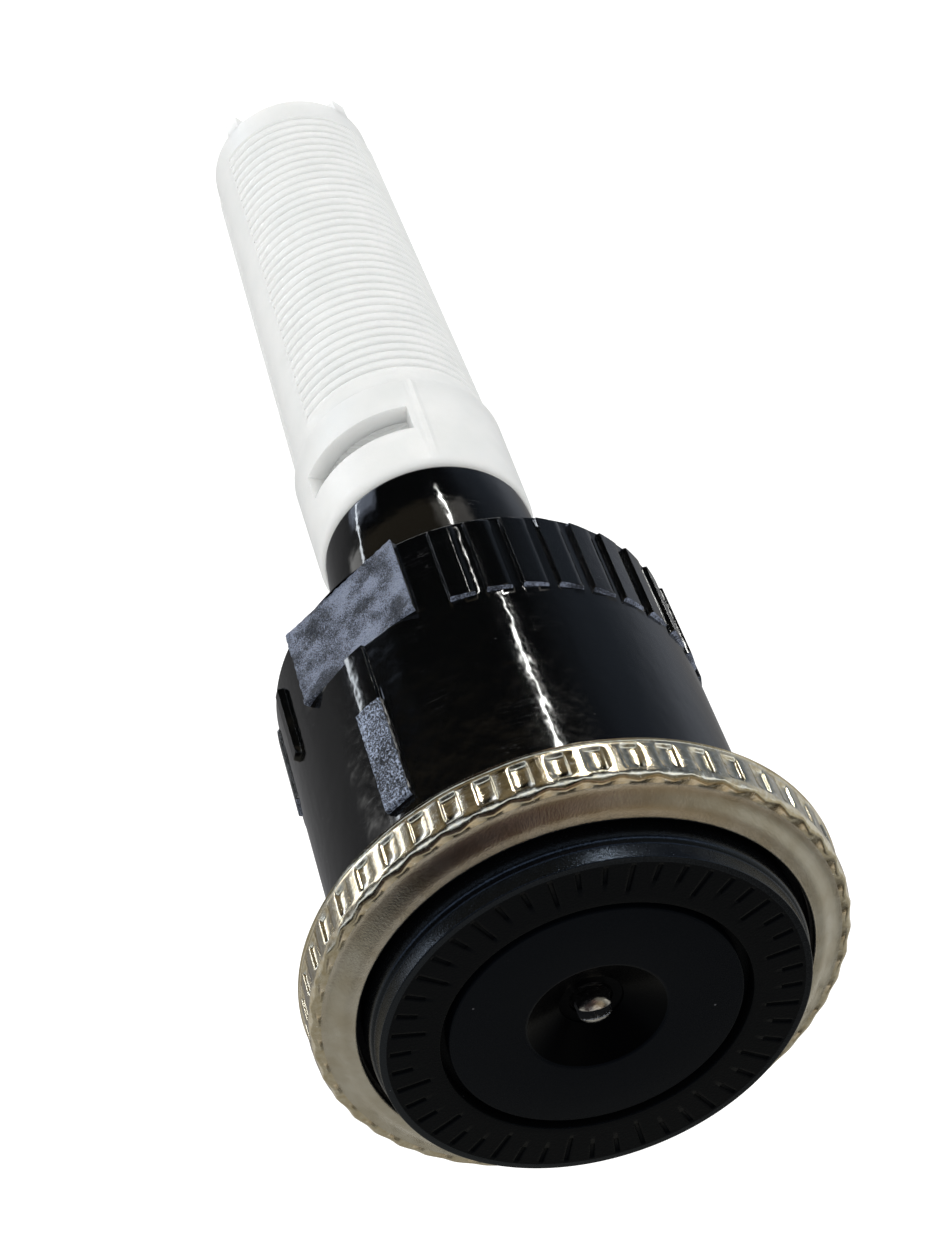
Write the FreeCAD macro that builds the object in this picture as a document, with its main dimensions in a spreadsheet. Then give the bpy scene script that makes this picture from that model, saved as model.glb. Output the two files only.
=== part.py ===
"""Rotary-stream pop up sprinkler nozzle with its inlet filter.

Frame: +Z points out of the watering face, the origin is the centre of the
skirt's bottom rim, and azimuths are measured from +X towards +Y.  Millimetres.

Every piece is turned about Z, so most outlines below are lists of
(radius, level) corners that are revolved about the Z axis.
"""
import FreeCAD, Part
import Sketcher
import math
import os

OUTPUT_FOLDER = "parts"
SHEET = "Dims"

# alias, value in millimetres, degrees or a count, what it is
DIMENSIONS = [
    ("skirt_rim_radius", 11.9, "skirt outside radius at the bottom rim"),
    ("skirt_top_radius", 12.07, "skirt outside radius under the arc ring"),
    ("skirt_top_level", 22.2, "top edge of the skirt"),
    ("skirt_bore_radius", 10.9, "inside of the skirt above the floor"),
    ("socket_radius", 7.45, "minor radius of the 5/8-28 riser thread"),
    ("thread_pitch", 0.907, "28 threads per inch"),
    ("thread_depth", 0.49, "radial depth of the riser thread"),
    ("socket_floor_level", 8.6, "top of the riser socket"),
    ("floor_top_level", 10.2, "upper side of the web above the socket"),
    ("spigot_radius", 6.6, "inlet spigot that enters the riser bore"),
    ("spigot_end_level", -11.8, "lower end of the inlet spigot"),
    ("tube_relief_radius", 6.3, "inlet tube above the spigot, inside the socket"),
    ("tube_bore_radius", 5.2, "water way through the inlet tube"),
    ("guide_ledge_level", 9.4, "ledge that carries the stem guide"),
    ("tube_top_level", 11.4, "top of the inlet tube"),
    ("cutter_overrun", 0.5, "how far a groove cutter stands clear of the wall"),
    ("groove_play", 0.04, "room round a seal or clip in its groove"),
    ("rib_count", 28, "grip ribs round the rim"),
    ("rib_pitch", 10.0, "angle between two grip ribs"),
    ("rib_azimuth", -94.25, "azimuth of the first grip rib"),
    ("rib_width", 1.46, "width of a grip rib"),
    ("rib_proud", 0.22, "height of a grip rib above the rim"),
    ("rib_foot_level", 0.35, "lower end of the grip ribs"),
    ("rib_top_level", 6.3, "upper end of the grip ribs"),
    ("flat_azimuth", -60.75, "azimuth of the marker flat"),
    ("flat_distance", 11.6, "marker flat to axis"),
    ("flat_width", 8.72, "width of the marker flat"),
    ("flat_top_level", 6.0, "upper edge of the marker flat"),
    ("marker_foot_radius", 12.18, "front of the marker's low step"),
    ("marker_foot_width", 1.46, "width of the marker's low step"),
    ("marker_rib_radius", 12.45, "front of the marker rib"),
    ("marker_rib_width", 1.8, "width of the marker rib"),
    ("marker_rib_level", 10.7, "lower end of the marker rib"),
    ("marker_rib_height", 7.6, "length of the marker rib"),
    ("side_rib_azimuth", -26.0, "azimuth of the thin side rib"),
    ("side_rib_radius", 12.3, "front of the thin side rib"),
    ("side_rib_width", 0.7, "width of the thin side rib"),
    ("side_rib_level", 1.4, "lower end of the thin side rib"),
    ("side_rib_height", 5.5, "length of the thin side rib"),
    ("pocket_count", 14, "coring pockets between thread and skirt"),
    ("pocket_depth", 7.4, "depth of a coring pocket"),
    ("pocket_inner_radius", 9.35, "inner wall of a coring pocket"),
    ("pocket_outer_radius", 10.85, "outer wall of a coring pocket"),
    ("pocket_inner_width", 3.1, "width of a coring pocket at its inner wall"),
    ("pocket_outer_width", 3.8, "width of a coring pocket at its outer wall"),
    ("key_width", 0.8, "width of the ribs inside the inlet tube"),
    ("guide_flange_radius", 6.0, "recess for the stem guide's flange"),
    ("ring_opening_radius", 12.5, "opening of the steel ring"),
    ("ring_outer_radius", 14.9, "outside of the steel ring"),
    ("ring_back_level", 22.3, "lower edge of the steel ring"),
    ("ring_band_top_level", 24.8, "where the dimpled band turns into the lip"),
    ("ring_crest_level", 25.75, "highest circle of the steel lip"),
    ("ring_gauge", 0.4, "sheet thickness of the steel ring"),
    ("dimple_count", 48, "dimples round the steel ring"),
    ("dimple_level", 23.55, "middle height of the dimples"),
    ("dimple_azimuth", -91.8, "azimuth of the first dimple"),
    ("dimple_width", 0.95, "width of a dimple"),
    ("dimple_height", 1.5, "height of a dimple"),
    ("dimple_depth", 0.18, "depth of a dimple"),
    ("sleeve_radius", 10.82, "outside of the arc collar's sleeve"),
    ("sleeve_bore_radius", 9.3, "bore of the arc collar's sleeve"),
    ("sleeve_end_level", 12.6, "lower end of the arc collar's sleeve"),
    ("collar_flange_radius", 14.4, "flange of the arc collar inside the steel ring"),
    ("collar_face_level", 25.05, "upper face of the arc collar"),
    ("collar_retainer_inner", 10.55, "snap ring that holds the arc collar, inside"),
    ("collar_retainer_outer", 11.3, "snap ring that holds the arc collar, outside"),
    ("collar_retainer_level", 16.65, "its underside"),
    ("collar_retainer_height", 0.5, "its thickness"),
    ("collar_seal_radius", 10.45, "O-ring round the arc collar, middle radius"),
    ("collar_seal_cord", 0.4, "its cord radius"),
    ("collar_seal_level", 19.75, "its level"),
    ("spline_count", 12, "splines between arc collar and arc nozzle"),
    ("nozzle_level", 13.0, "underside of the arc nozzle"),
    ("nozzle_floor", 1.2, "thickness of the arc nozzle's floor"),
    ("nozzle_top_level", 19.2, "upper edge of the arc nozzle"),
    ("nozzle_bore_radius", 5.0, "chamber of the arc nozzle"),
    ("nozzle_seal_radius", 3.79, "O-ring between arc nozzle and stem, middle radius"),
    ("nozzle_seal_cord", 0.34, "its cord radius"),
    ("nozzle_seal_level", 13.62, "its level"),
    ("shutter_height", 0.9, "thickness of the fixed shutter"),
    ("arc_sector", 150.0, "angle that one arc shutter closes"),
    ("stem_radius", 3.4, "outside of the pop up stem"),
    ("stem_bore_radius", 2.5, "bore of the pop up stem"),
    ("stem_end_level", -6.8, "lower end of the stem"),
    ("stem_top_level", 18.4, "upper end of the stem"),
    ("stem_collar_radius", 4.4, "shoulder that rests on the stem guide"),
    ("stem_clip_inner", 3.12, "snap ring on the stem, inside"),
    ("stem_clip_outer", 4.4, "snap ring on the stem, outside"),
    ("stem_clip_level", -6.2, "its underside"),
    ("stem_clip_height", 0.55, "its thickness"),
    ("stem_seal_radius", 3.87, "O-ring round the stem, middle radius"),
    ("stem_seal_cord", 0.42, "its cord radius"),
    ("stem_seal_level", 10.4, "its level"),
    ("seat_radius", 1.7, "throttle seat in the stem"),
    ("seat_level", 2.0, "lower edge of the throttle seat"),
    ("slide_gap", 0.07, "radial running gap of sliding fits"),
    ("turn_gap", 0.05, "radial running gap of turning fits"),
    ("spring_top_level", 7.4, "fixed end of the return spring"),
    ("spring_seat_level", -4.6, "moving end of the return spring"),
    ("spring_radius", 4.3, "mean radius of the return spring"),
    ("spring_wire", 0.7, "wire diameter of the return spring"),
    ("spring_turns", 7, "coils of the return spring"),
    ("face_level", 27.7, "watering face"),
    ("rotor_radius", 12.05, "outside of the rotor"),
    ("rotor_rim_level", 24.2, "lower edge of the rotor rim"),
    ("rotor_face_radius", 11.78, "edge of the watering face"),
    ("rotor_step_level", 26.6, "rounded step on the rotor's side"),
    ("rotor_hub_level", 19.75, "lower end of the rotor hub"),
    ("rotor_hub_radius", 4.4, "flat end of the rotor hub"),
    ("channel_count", 14, "stream channels under the rotor"),
    ("channel_radius", 0.75, "radius of a stream channel"),
    ("tick_count", 48, "engraved ticks on the face"),
    ("cavity_radius", 7.0, "damper cavity of the rotor"),
    ("cavity_floor_level", 22.9, "floor of the damper cavity"),
    ("cap_ledge_level", 26.7, "ledge that carries the rotor cap"),
    ("cap_radius", 8.05, "outside of the rotor cap"),
    ("cap_bore_radius", 8.53, "recess round the rotor cap"),
    ("cone_radius", 3.9, "mouth of the conical recess"),
    ("cap_underside_level", 25.0, "underside of the rotor cap"),
    ("cap_seal_radius", 1.5, "O-ring in the rotor cap, middle radius"),
    ("cap_seal_cord", 0.33, "its cord radius"),
    ("cap_seal_level", 25.55, "its level"),
    ("rotor_bore_radius", 1.92, "bore of the rotor hub round its bushing"),
    ("damper_seal_pocket", 2.7, "radius of the damper seal's pocket"),
    ("damper_seal_level", 21.4, "floor of the damper seal's pocket"),
    ("stator_radius", 6.2, "damper disc"),
    ("stator_hub_radius", 2.4, "hub of the damper disc"),
    ("shaft_radius", 1.1, "adjusting shaft"),
    ("shaft_head_radius", 0.95, "turned down head of the adjusting shaft"),
    ("shaft_head_level", 26.0, "where the head begins"),
    ("shaft_top_level", 27.1, "domed top of the adjusting shaft"),
    ("slot_azimuth", -9.4, "direction of the driver slot"),
    ("slot_width", 0.62, "width of the driver slot"),
    ("slot_depth", 0.7, "depth of the driver slot"),
    ("shaft_clip_inner", 0.82, "snap ring on the shaft, inside"),
    ("shaft_clip_outer", 2.1, "snap ring on the shaft, outside"),
    ("shaft_clip_level", 16.8, "its underside"),
    ("shaft_clip_height", 0.45, "its thickness"),
    ("shaft_seal_radius", 1.53, "O-ring round the shaft, middle radius"),
    ("shaft_seal_cord", 0.36, "its cord radius"),
    ("shaft_seal_level", 18.5, "its level"),
    ("screw_pitch", 0.8, "pitch of the throttle screw"),
    ("shaft_end_level", -4.0, "lower end of the adjusting shaft"),
    ("filter_collar_radius", 6.8, "collar of the filter"),
    ("filter_collar_end_level", -20.7, "lower end of the filter collar"),
    ("plug_top_level", -7.4, "upper end of the filter's plug"),
    ("plug_bore_radius", 4.4, "bore of the filter's plug"),
    ("window_low_level", -17.7, "lower edge of a collar window"),
    ("window_high_level", -15.5, "upper edge of a collar window"),
    ("window_angle", 69.0, "angle of a collar window"),
    ("ridge_azimuth", -109.75, "azimuth of the collar's thin ridge"),
    ("foot_azimuth", -57.0, "azimuth of the first foot"),
    ("foot_height", 1.2, "height of a foot"),
    ("basket_top_radius", 6.37, "basket radius below the collar"),
    ("basket_end_radius", 5.55, "basket radius at its closed end"),
    ("basket_end_level", -56.0, "closed end of the basket"),
    ("basket_wall", 0.8, "wall of the basket"),
    ("screen_foot", 2.4, "first slit above the closed end"),
    ("screen_pitch", 0.88, "distance between two screen slits"),
    ("screen_slit", 0.34, "height of a screen slit"),
    ("screen_count", 36, "slits in one screen panel"),
    ("screen_angle", 150.0, "angle of one screen panel"),
]


class Size:
    """A number together with the sheet formula that gives it."""

    def __init__(self, number, formula):
        self.number = number
        self.formula = formula

    def __add__(self, other):
        other = as_size(other)
        return Size(self.number + other.number, f"({self.formula} + {other.formula})")

    def __sub__(self, other):
        other = as_size(other)
        return Size(self.number - other.number, f"({self.formula} - {other.formula})")

    def __mul__(self, factor):
        return Size(self.number * factor, f"({self.formula} * {factor})")

    def __truediv__(self, divisor):
        return Size(self.number / divisor, f"({self.formula} / {divisor})")

    def __neg__(self):
        return Size(-self.number, f"(0 - {self.formula})")


def as_size(value):
    if isinstance(value, Size):
        return value
    return Size(value, str(value))


class Dimensions:
    """The driving dimensions, each readable as an attribute."""

    def __init__(self, document):
        sheet = document.addObject("Spreadsheet::Sheet", SHEET)
        for row, (alias, value, note) in enumerate(DIMENSIONS, start=1):
            sheet.set(f"A{row}", note)
            sheet.set(f"B{row}", str(value))
            sheet.setAlias(f"B{row}", alias)
            setattr(self, alias, Size(value, f"{SHEET}.{alias}"))


doc = FreeCAD.newDocument("PopUpNozzle")
dim = Dimensions(doc)
doc.recompute()

UP = FreeCAD.Vector(0, 0, 1)
SUB_PARTS = []


def keep(sub_part):
    SUB_PARTS.append(sub_part)
    return sub_part


# ---------------------------------------------------------------- sketching

def origin_feature(body, role):
    for feature in body.Origin.OriginFeatures:
        if feature.Role == role:
            return feature
    raise ValueError(role)


def bind(target, path, size):
    target.setExpression(path, as_size(size).formula)


def add_body(label):
    body = doc.addObject("PartDesign::Body", label)
    body.Label = label
    return keep(body)


def section_sketch(body, name, azimuth=0.0):
    """Sketch in the half plane at one azimuth: x is the radius, y is the level."""
    sketch = body.newObject("Sketcher::SketchObject", name)
    sketch.AttachmentSupport = [(origin_feature(body, "XZ_Plane"), "")]
    sketch.MapMode = "FlatFace"
    turn = FreeCAD.Rotation(FreeCAD.Vector(0, 1, 0), as_size(azimuth).number)
    sketch.AttachmentOffset = FreeCAD.Placement(FreeCAD.Vector(), turn)
    return sketch


def level_sketch(body, name, level, azimuth=0.0):
    """Sketch in the plane at one level, with its x axis at the azimuth."""
    sketch = body.newObject("Sketcher::SketchObject", name)
    sketch.AttachmentSupport = [(origin_feature(body, "XY_Plane"), "")]
    sketch.MapMode = "FlatFace"
    turn = FreeCAD.Rotation(UP, as_size(azimuth).number)
    height = FreeCAD.Vector(0, 0, as_size(level).number)
    sketch.AttachmentOffset = FreeCAD.Placement(height, turn)
    bind(sketch, "AttachmentOffset.Base.z", level)
    return sketch


def pin_coordinate(sketch, kind, geometry, end, size):
    size = as_size(size)
    index = sketch.addConstraint(
        Sketcher.Constraint(kind, -1, 1, geometry, end, size.number))
    bind(sketch, f"Constraints[{index}]", size)


def draw_outline(sketch, corners):
    """Closed outline of straight edges through (x, y) corners."""
    corners = [(as_size(x), as_size(y)) for x, y in corners]
    points = [FreeCAD.Vector(x.number, y.number, 0) for x, y in corners]
    count = len(points)
    first = sketch.GeometryCount
    for index in range(count):
        edge = Part.LineSegment(points[index], points[(index + 1) % count])
        sketch.addGeometry(edge, False)
    for index in range(count):
        following = first + (index + 1) % count
        sketch.addConstraint(
            Sketcher.Constraint("Coincident", first + index, 2, following, 1))
    for index, (x, y) in enumerate(corners):
        pin_coordinate(sketch, "DistanceX", first + index, 1, x)
        pin_coordinate(sketch, "DistanceY", first + index, 1, y)


def draw_circle(sketch, x, y, radius):
    x, y, radius = as_size(x), as_size(y), as_size(radius)
    centre = FreeCAD.Vector(x.number, y.number, 0)
    index = sketch.addGeometry(Part.Circle(centre, UP, radius.number), False)
    pin_coordinate(sketch, "DistanceX", index, 3, x)
    pin_coordinate(sketch, "DistanceY", index, 3, y)
    constraint = sketch.addConstraint(Sketcher.Constraint("Radius", index, radius.number))
    bind(sketch, f"Constraints[{constraint}]", radius)


# ----------------------------------------------------------------- features

def require_change(body, before, name):
    doc.recompute()
    if abs(body.Shape.Volume - before) < 1e-6:
        raise RuntimeError(f"{body.Label}: {name} changes nothing")


def turn(body, name, sketch, cut=False, angle=360.0):
    """Revolve a section sketch about Z, adding to the body or cutting it."""
    before = body.Shape.Volume if body.Tip else 0.0
    kind = "PartDesign::Groove" if cut else "PartDesign::Revolution"
    feature = body.newObject(kind, name)
    feature.Profile = sketch
    feature.ReferenceAxis = (sketch, ["V_Axis"])
    feature.Angle = as_size(angle).number
    if isinstance(angle, Size):
        bind(feature, "Angle", angle)
    sketch.Visibility = False
    require_change(body, before, name)
    return feature


def turned(body, name, corners, cut=False, angle=360.0, azimuth=0.0):
    sketch = section_sketch(body, name + "_outline", azimuth)
    draw_outline(sketch, corners)
    return turn(body, name, sketch, cut, angle)


def rise(body, name, sketch, height, cut=False):
    """Extrude a level sketch upwards, adding to the body or cutting it."""
    before = body.Shape.Volume if body.Tip else 0.0
    kind = "PartDesign::Pocket" if cut else "PartDesign::Pad"
    feature = body.newObject(kind, name)
    feature.Profile = sketch
    feature.Length = as_size(height).number
    bind(feature, "Length", height)
    feature.Reversed = cut
    require_change(body, before, name)
    return feature


def block(body, name, corners, level, height, cut=False, azimuth=0.0):
    sketch = level_sketch(body, name + "_outline", level, azimuth)
    draw_outline(sketch, corners)
    return rise(body, name, sketch, height, cut)


def radial_bar(body, name, inner, outer, width, level, height, cut=False, azimuth=0.0):
    """Rectangular bar that runs from one radius to another."""
    half = as_size(width) / 2
    corners = [(inner, -half), (outer, -half), (outer, half), (inner, half)]
    return block(body, name, corners, level, height, cut, azimuth)


def round_pattern(body, name, features, count, angle=360.0, backwards=False):
    before = body.Shape.Volume
    pattern = body.newObject("PartDesign::PolarPattern", name)
    pattern.Originals = features
    pattern.Axis = (features[0].Profile[0], ["N_Axis"])
    pattern.Angle = as_size(angle).number
    pattern.Occurrences = int(as_size(count).number)
    if isinstance(count, Size):
        bind(pattern, "Occurrences", count)
    pattern.Reversed = backwards
    body.Tip = pattern
    require_change(body, before, name)
    return pattern


def circle_edges(shape, radius, level):
    """Names of the circular edges with one radius at one level."""
    radius, level = as_size(radius).number, as_size(level).number
    names = []
    for index, edge in enumerate(shape.Edges, start=1):
        curve = edge.Curve
        if not isinstance(curve, Part.Circle):
            continue
        if abs(curve.Radius - radius) < 1e-4 and abs(curve.Center.z - level) < 1e-4:
            names.append(f"Edge{index}")
    if not names:
        raise RuntimeError(f"no circle of radius {radius} at level {level}")
    return names


def soften(body, name, size, circles, flat=False):
    """Fillet, or chamfer if flat, the circles given as (radius, level)."""
    base = body.Tip
    names = []
    for radius, level in circles:
        names += circle_edges(body.Shape, radius, level)
    kind = "PartDesign::Chamfer" if flat else "PartDesign::Fillet"
    feature = body.newObject(kind, name)
    feature.Base = (base, names)
    if flat:
        feature.Size = size
    else:
        feature.Radius = size
    doc.recompute()
    return feature


def sizes_of(name, *kinds):
    """The driving dimensions that belong to one piece."""
    return [getattr(dim, f"{name}_{kind}") for kind in kinds]


def ring_seal(label):
    """O-ring lying level."""
    radius, cord, level = sizes_of(label, "radius", "cord", "level")
    ring = doc.addObject("Part::Torus", label)
    ring.Label = label
    bind(ring, "Radius1", radius)
    bind(ring, "Radius2", cord)
    bind(ring, "Placement.Base.z", level)
    doc.recompute()
    return keep(ring)


def snap_ring(label, angle, azimuth=0.0):
    """Flat ring with a gap."""
    inner, outer, level, height = sizes_of(label, "inner", "outer", "level", "height")
    body = add_body(label)
    corners = [(inner, level), (outer, level), (outer, level + height), (inner, level + height)]
    turned(body, "wire", corners, angle=angle, azimuth=azimuth)
    return body


def cut_groove(body, name, inner, outer, low, high):
    """Square groove round the axis that reaches into a wall from inner or outer."""
    turned(body, name, [(inner, low), (outer, low), (outer, high), (inner, high)], cut=True)


def cut_seal_groove(body, seal, wall):
    """Groove for an O-ring, open towards the wall it seals on."""
    radius, cord, level = sizes_of(seal, "radius", "cord", "level")
    half = cord + dim.groove_play
    if wall.number < radius.number:
        inner, outer = wall - dim.cutter_overrun, radius + half
    else:
        inner, outer = radius - half, wall + dim.cutter_overrun
    cut_groove(body, seal + "_groove", inner, outer, level - half, level + half)


def cut_clip_groove(body, clip, wall, in_bore=False):
    """Groove for a snap ring in a shaft's or a bore's wall."""
    inner, outer, level, height = sizes_of(clip, "inner", "outer", "level", "height")
    low = level - dim.groove_play
    high = level + height + dim.groove_play
    if in_bore:
        cut_groove(body, clip + "_groove", wall - dim.cutter_overrun, outer + dim.groove_play, low, high)
    else:
        cut_groove(body, clip + "_groove", inner - dim.groove_play, wall + dim.cutter_overrun, low, high)


def helix_cut(body, name, sketch, pitch, height):
    before = body.Shape.Volume
    feature = body.newObject("PartDesign::SubtractiveHelix", name)
    feature.Profile = sketch
    feature.ReferenceAxis = (sketch, ["V_Axis"])
    feature.Mode = "pitch-height-angle"
    feature.Pitch = as_size(pitch).number
    feature.Height = as_size(height).number
    feature.Angle = 0
    feature.LeftHanded = False
    feature.Reversed = False
    require_change(body, before, name)
    return feature


# ------------------------------------------------------------ fixed pieces

def make_base_body():
    """Black skirt: screw socket below, cup for the arc collar above."""
    body = add_body("base_body")
    mouth = 0.6
    turned(body, "skirt", [
        (dim.socket_radius + mouth, 0),
        (dim.skirt_rim_radius - 0.15, 0),
        (dim.skirt_rim_radius, 0.15),
        (dim.skirt_top_radius, dim.skirt_top_level),
        (dim.skirt_bore_radius, dim.skirt_top_level),
        (dim.skirt_bore_radius, dim.floor_top_level),
        (dim.tube_relief_radius + 0.02, dim.floor_top_level),
        (dim.tube_relief_radius + 0.02, dim.socket_floor_level),
        (dim.socket_radius, dim.socket_floor_level),
        (dim.socket_radius, mouth),
    ])
    cut_clip_groove(body, "collar_retainer", dim.skirt_bore_radius, in_bore=True)
    add_marker_flat(body)
    add_grip_ribs(body)
    add_coring(body)
    cut_riser_thread(body)


def add_marker_flat(body):
    """Wide flat at the rim, with a two-step marker rib above it."""
    half = dim.flat_width / 2
    radial_bar(body, "flat_block", 9.5, dim.flat_distance, dim.flat_width,
               0.3, dim.flat_top_level - 0.3, azimuth=dim.flat_azimuth)
    block(body, "flat_relief", [
        (dim.flat_distance, -half),
        (dim.flat_distance + 2, -half),
        (dim.flat_distance + 2, half),
        (dim.flat_distance, half),
    ], -0.1, dim.flat_top_level + 0.1, cut=True, azimuth=dim.flat_azimuth)
    root = dim.skirt_rim_radius - 0.6
    radial_bar(body, "marker_foot", root, dim.marker_foot_radius, dim.marker_foot_width,
               dim.flat_top_level - 0.2, dim.marker_rib_level - dim.flat_top_level + 0.3,
               azimuth=dim.flat_azimuth)
    radial_bar(body, "marker_rib", root, dim.marker_rib_radius, dim.marker_rib_width,
               dim.marker_rib_level, dim.marker_rib_height, azimuth=dim.flat_azimuth)
    radial_bar(body, "side_rib", root, dim.side_rib_radius, dim.side_rib_width,
               dim.side_rib_level, dim.side_rib_height, azimuth=dim.side_rib_azimuth)


def add_grip_ribs(body):
    """Ribs with faces that slope a little, all the way round but for the marker."""
    half = dim.rib_width / 2
    root = dim.skirt_rim_radius - 0.6
    crest = dim.skirt_rim_radius + dim.rib_proud
    rib = block(body, "grip_rib", [
        (root, -half),
        (crest - 0.1, -half),
        (crest + 0.04, half),
        (root, half),
    ], dim.rib_foot_level, dim.rib_top_level - dim.rib_foot_level, azimuth=dim.rib_azimuth)
    sweep = dim.rib_pitch * (dim.rib_count.number - 1)
    round_pattern(body, "grip_ribs", [rib], dim.rib_count, sweep, backwards=True)


def add_coring(body):
    """Pockets moulded up into the thick wall between thread and skirt."""
    inner = dim.pocket_inner_width / 2
    outer = dim.pocket_outer_width / 2
    pocket = block(body, "core_pocket", [
        (dim.pocket_inner_radius, -inner),
        (dim.pocket_outer_radius, -outer),
        (dim.pocket_outer_radius, outer),
        (dim.pocket_inner_radius, inner),
    ], -0.1, dim.pocket_depth + 0.1, cut=True)
    round_pattern(body, "core_pockets", [pocket], dim.pocket_count)


def cut_riser_thread(body):
    """Internal thread that screws onto the riser."""
    flank = dim.thread_pitch * 0.42
    root = dim.thread_pitch * 0.08
    run_out = 0.7
    start = -dim.thread_pitch
    crest_radius = dim.socket_radius - 0.05
    root_radius = dim.socket_radius + dim.thread_depth
    sketch = section_sketch(body, "thread_outline")
    draw_outline(sketch, [
        (crest_radius, start),
        (root_radius, start + flank),
        (root_radius, start + flank + root),
        (crest_radius, start + flank + root + flank),
    ])
    helix_cut(body, "riser_thread", sketch, dim.thread_pitch, dim.socket_floor_level - run_out)


def make_inlet_tube():
    """Spigot and water way; three inside ribs keep the spring seat from turning."""
    body = add_body("inlet_tube")
    turned(body, "tube", [
        (dim.tube_bore_radius, dim.spigot_end_level),
        (dim.spigot_radius - 0.25, dim.spigot_end_level),
        (dim.spigot_radius, dim.spigot_end_level + 0.25),
        (dim.spigot_radius, 0),
        (dim.tube_relief_radius, dim.spigot_radius - dim.tube_relief_radius),
        (dim.tube_relief_radius, dim.floor_top_level),
        (dim.guide_flange_radius + 2.4, dim.floor_top_level),
        (dim.guide_flange_radius + 2.4, dim.tube_top_level),
        (dim.guide_flange_radius, dim.tube_top_level),
        (dim.guide_flange_radius, dim.guide_ledge_level),
        (dim.tube_bore_radius, dim.guide_ledge_level),
    ])
    key = radial_bar(body, "key_rib", dim.tube_bore_radius - 0.3, dim.tube_bore_radius + 0.3,
                     dim.key_width, -6.5, 13.2)
    round_pattern(body, "key_ribs", [key], 3)


def make_riser_gasket():
    """Flat washer that the riser's rim is screwed against."""
    body = add_body("riser_gasket")
    inner = dim.spigot_radius + 0.08
    outer = dim.socket_radius - 0.05
    underside = dim.socket_floor_level - 0.8
    turned(body, "washer", [
        (inner, underside),
        (outer, underside),
        (outer, dim.socket_floor_level),
        (inner, dim.socket_floor_level),
    ])


def make_stem_guide():
    """Flanged bush in the tube's mouth: guides the stem and stops the spring."""
    body = add_body("stem_guide")
    bore = dim.stem_radius + dim.slide_gap
    body_radius = dim.tube_bore_radius - dim.turn_gap
    flange_radius = dim.guide_flange_radius - dim.turn_gap
    turned(body, "bush", [
        (bore, dim.spring_top_level),
        (body_radius, dim.spring_top_level),
        (body_radius, dim.guide_ledge_level),
        (flange_radius, dim.guide_ledge_level),
        (flange_radius, dim.tube_top_level),
        (bore, dim.tube_top_level),
    ])
    cut_seal_groove(body, "stem_seal", bore)


# ------------------------------------------------------------- arc setting

def make_arc_collar():
    """Black carrier of the steel ring, splined inside to turn the arc nozzle."""
    body = add_body("arc_collar")
    mouth = dim.ring_opening_radius - dim.turn_gap
    turned(body, "collar", [
        (dim.sleeve_bore_radius, dim.sleeve_end_level),
        (dim.sleeve_radius, dim.sleeve_end_level),
        (dim.sleeve_radius, dim.ring_back_level + 0.1),
        (dim.collar_flange_radius, dim.ring_back_level + 0.1),
        (dim.collar_flange_radius, dim.collar_face_level - 0.55),
        (dim.collar_flange_radius - 0.55, dim.collar_face_level),
        (mouth, dim.collar_face_level),
        (mouth, dim.rotor_rim_level),
        (dim.sleeve_bore_radius, 21.0),
    ])
    cut_clip_groove(body, "collar_retainer", dim.sleeve_radius)
    cut_seal_groove(body, "collar_seal", dim.sleeve_radius)
    spline = radial_bar(body, "spline", dim.sleeve_bore_radius - 0.5, dim.sleeve_bore_radius + 0.3,
                        1.1, dim.sleeve_end_level, 8.4)
    round_pattern(body, "splines", [spline], dim.spline_count)


def make_steel_crown():
    """Pressed stainless ring with a dimpled band and a rolled lip."""
    body = add_body("steel_crown")
    outside = dim.ring_outer_radius
    inside = dim.ring_outer_radius - dim.ring_gauge
    opening = dim.ring_opening_radius
    shoulder = (outside - 0.45, dim.ring_band_top_level + 0.55)
    crest = (opening + 0.35, dim.ring_crest_level)
    turned(body, "shell", [
        (outside, dim.ring_back_level),
        (outside, dim.ring_band_top_level),
        shoulder,
        crest,
        (opening, dim.ring_crest_level - 0.35),
        (opening, dim.collar_face_level + 0.05),
        (opening + 0.3, dim.collar_face_level + 0.05),
        (opening + 0.45, dim.ring_crest_level - dim.ring_gauge),
        (inside - 0.2, dim.ring_band_top_level + 0.25),
        (inside, dim.ring_band_top_level - 0.1),
        (inside, dim.ring_back_level),
    ])
    soften(body, "lip_round", 0.3, [(outside, dim.ring_band_top_level), shoulder, crest])
    dimple = radial_bar(body, "dimple", outside - dim.dimple_depth, outside + 0.5, dim.dimple_width,
                        dim.dimple_level - dim.dimple_height / 2, dim.dimple_height, cut=True,
                        azimuth=dim.dimple_azimuth)
    round_pattern(body, "dimples", [dimple], dim.dimple_count)


# ---------------------------------------------------------- pop up section

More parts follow.
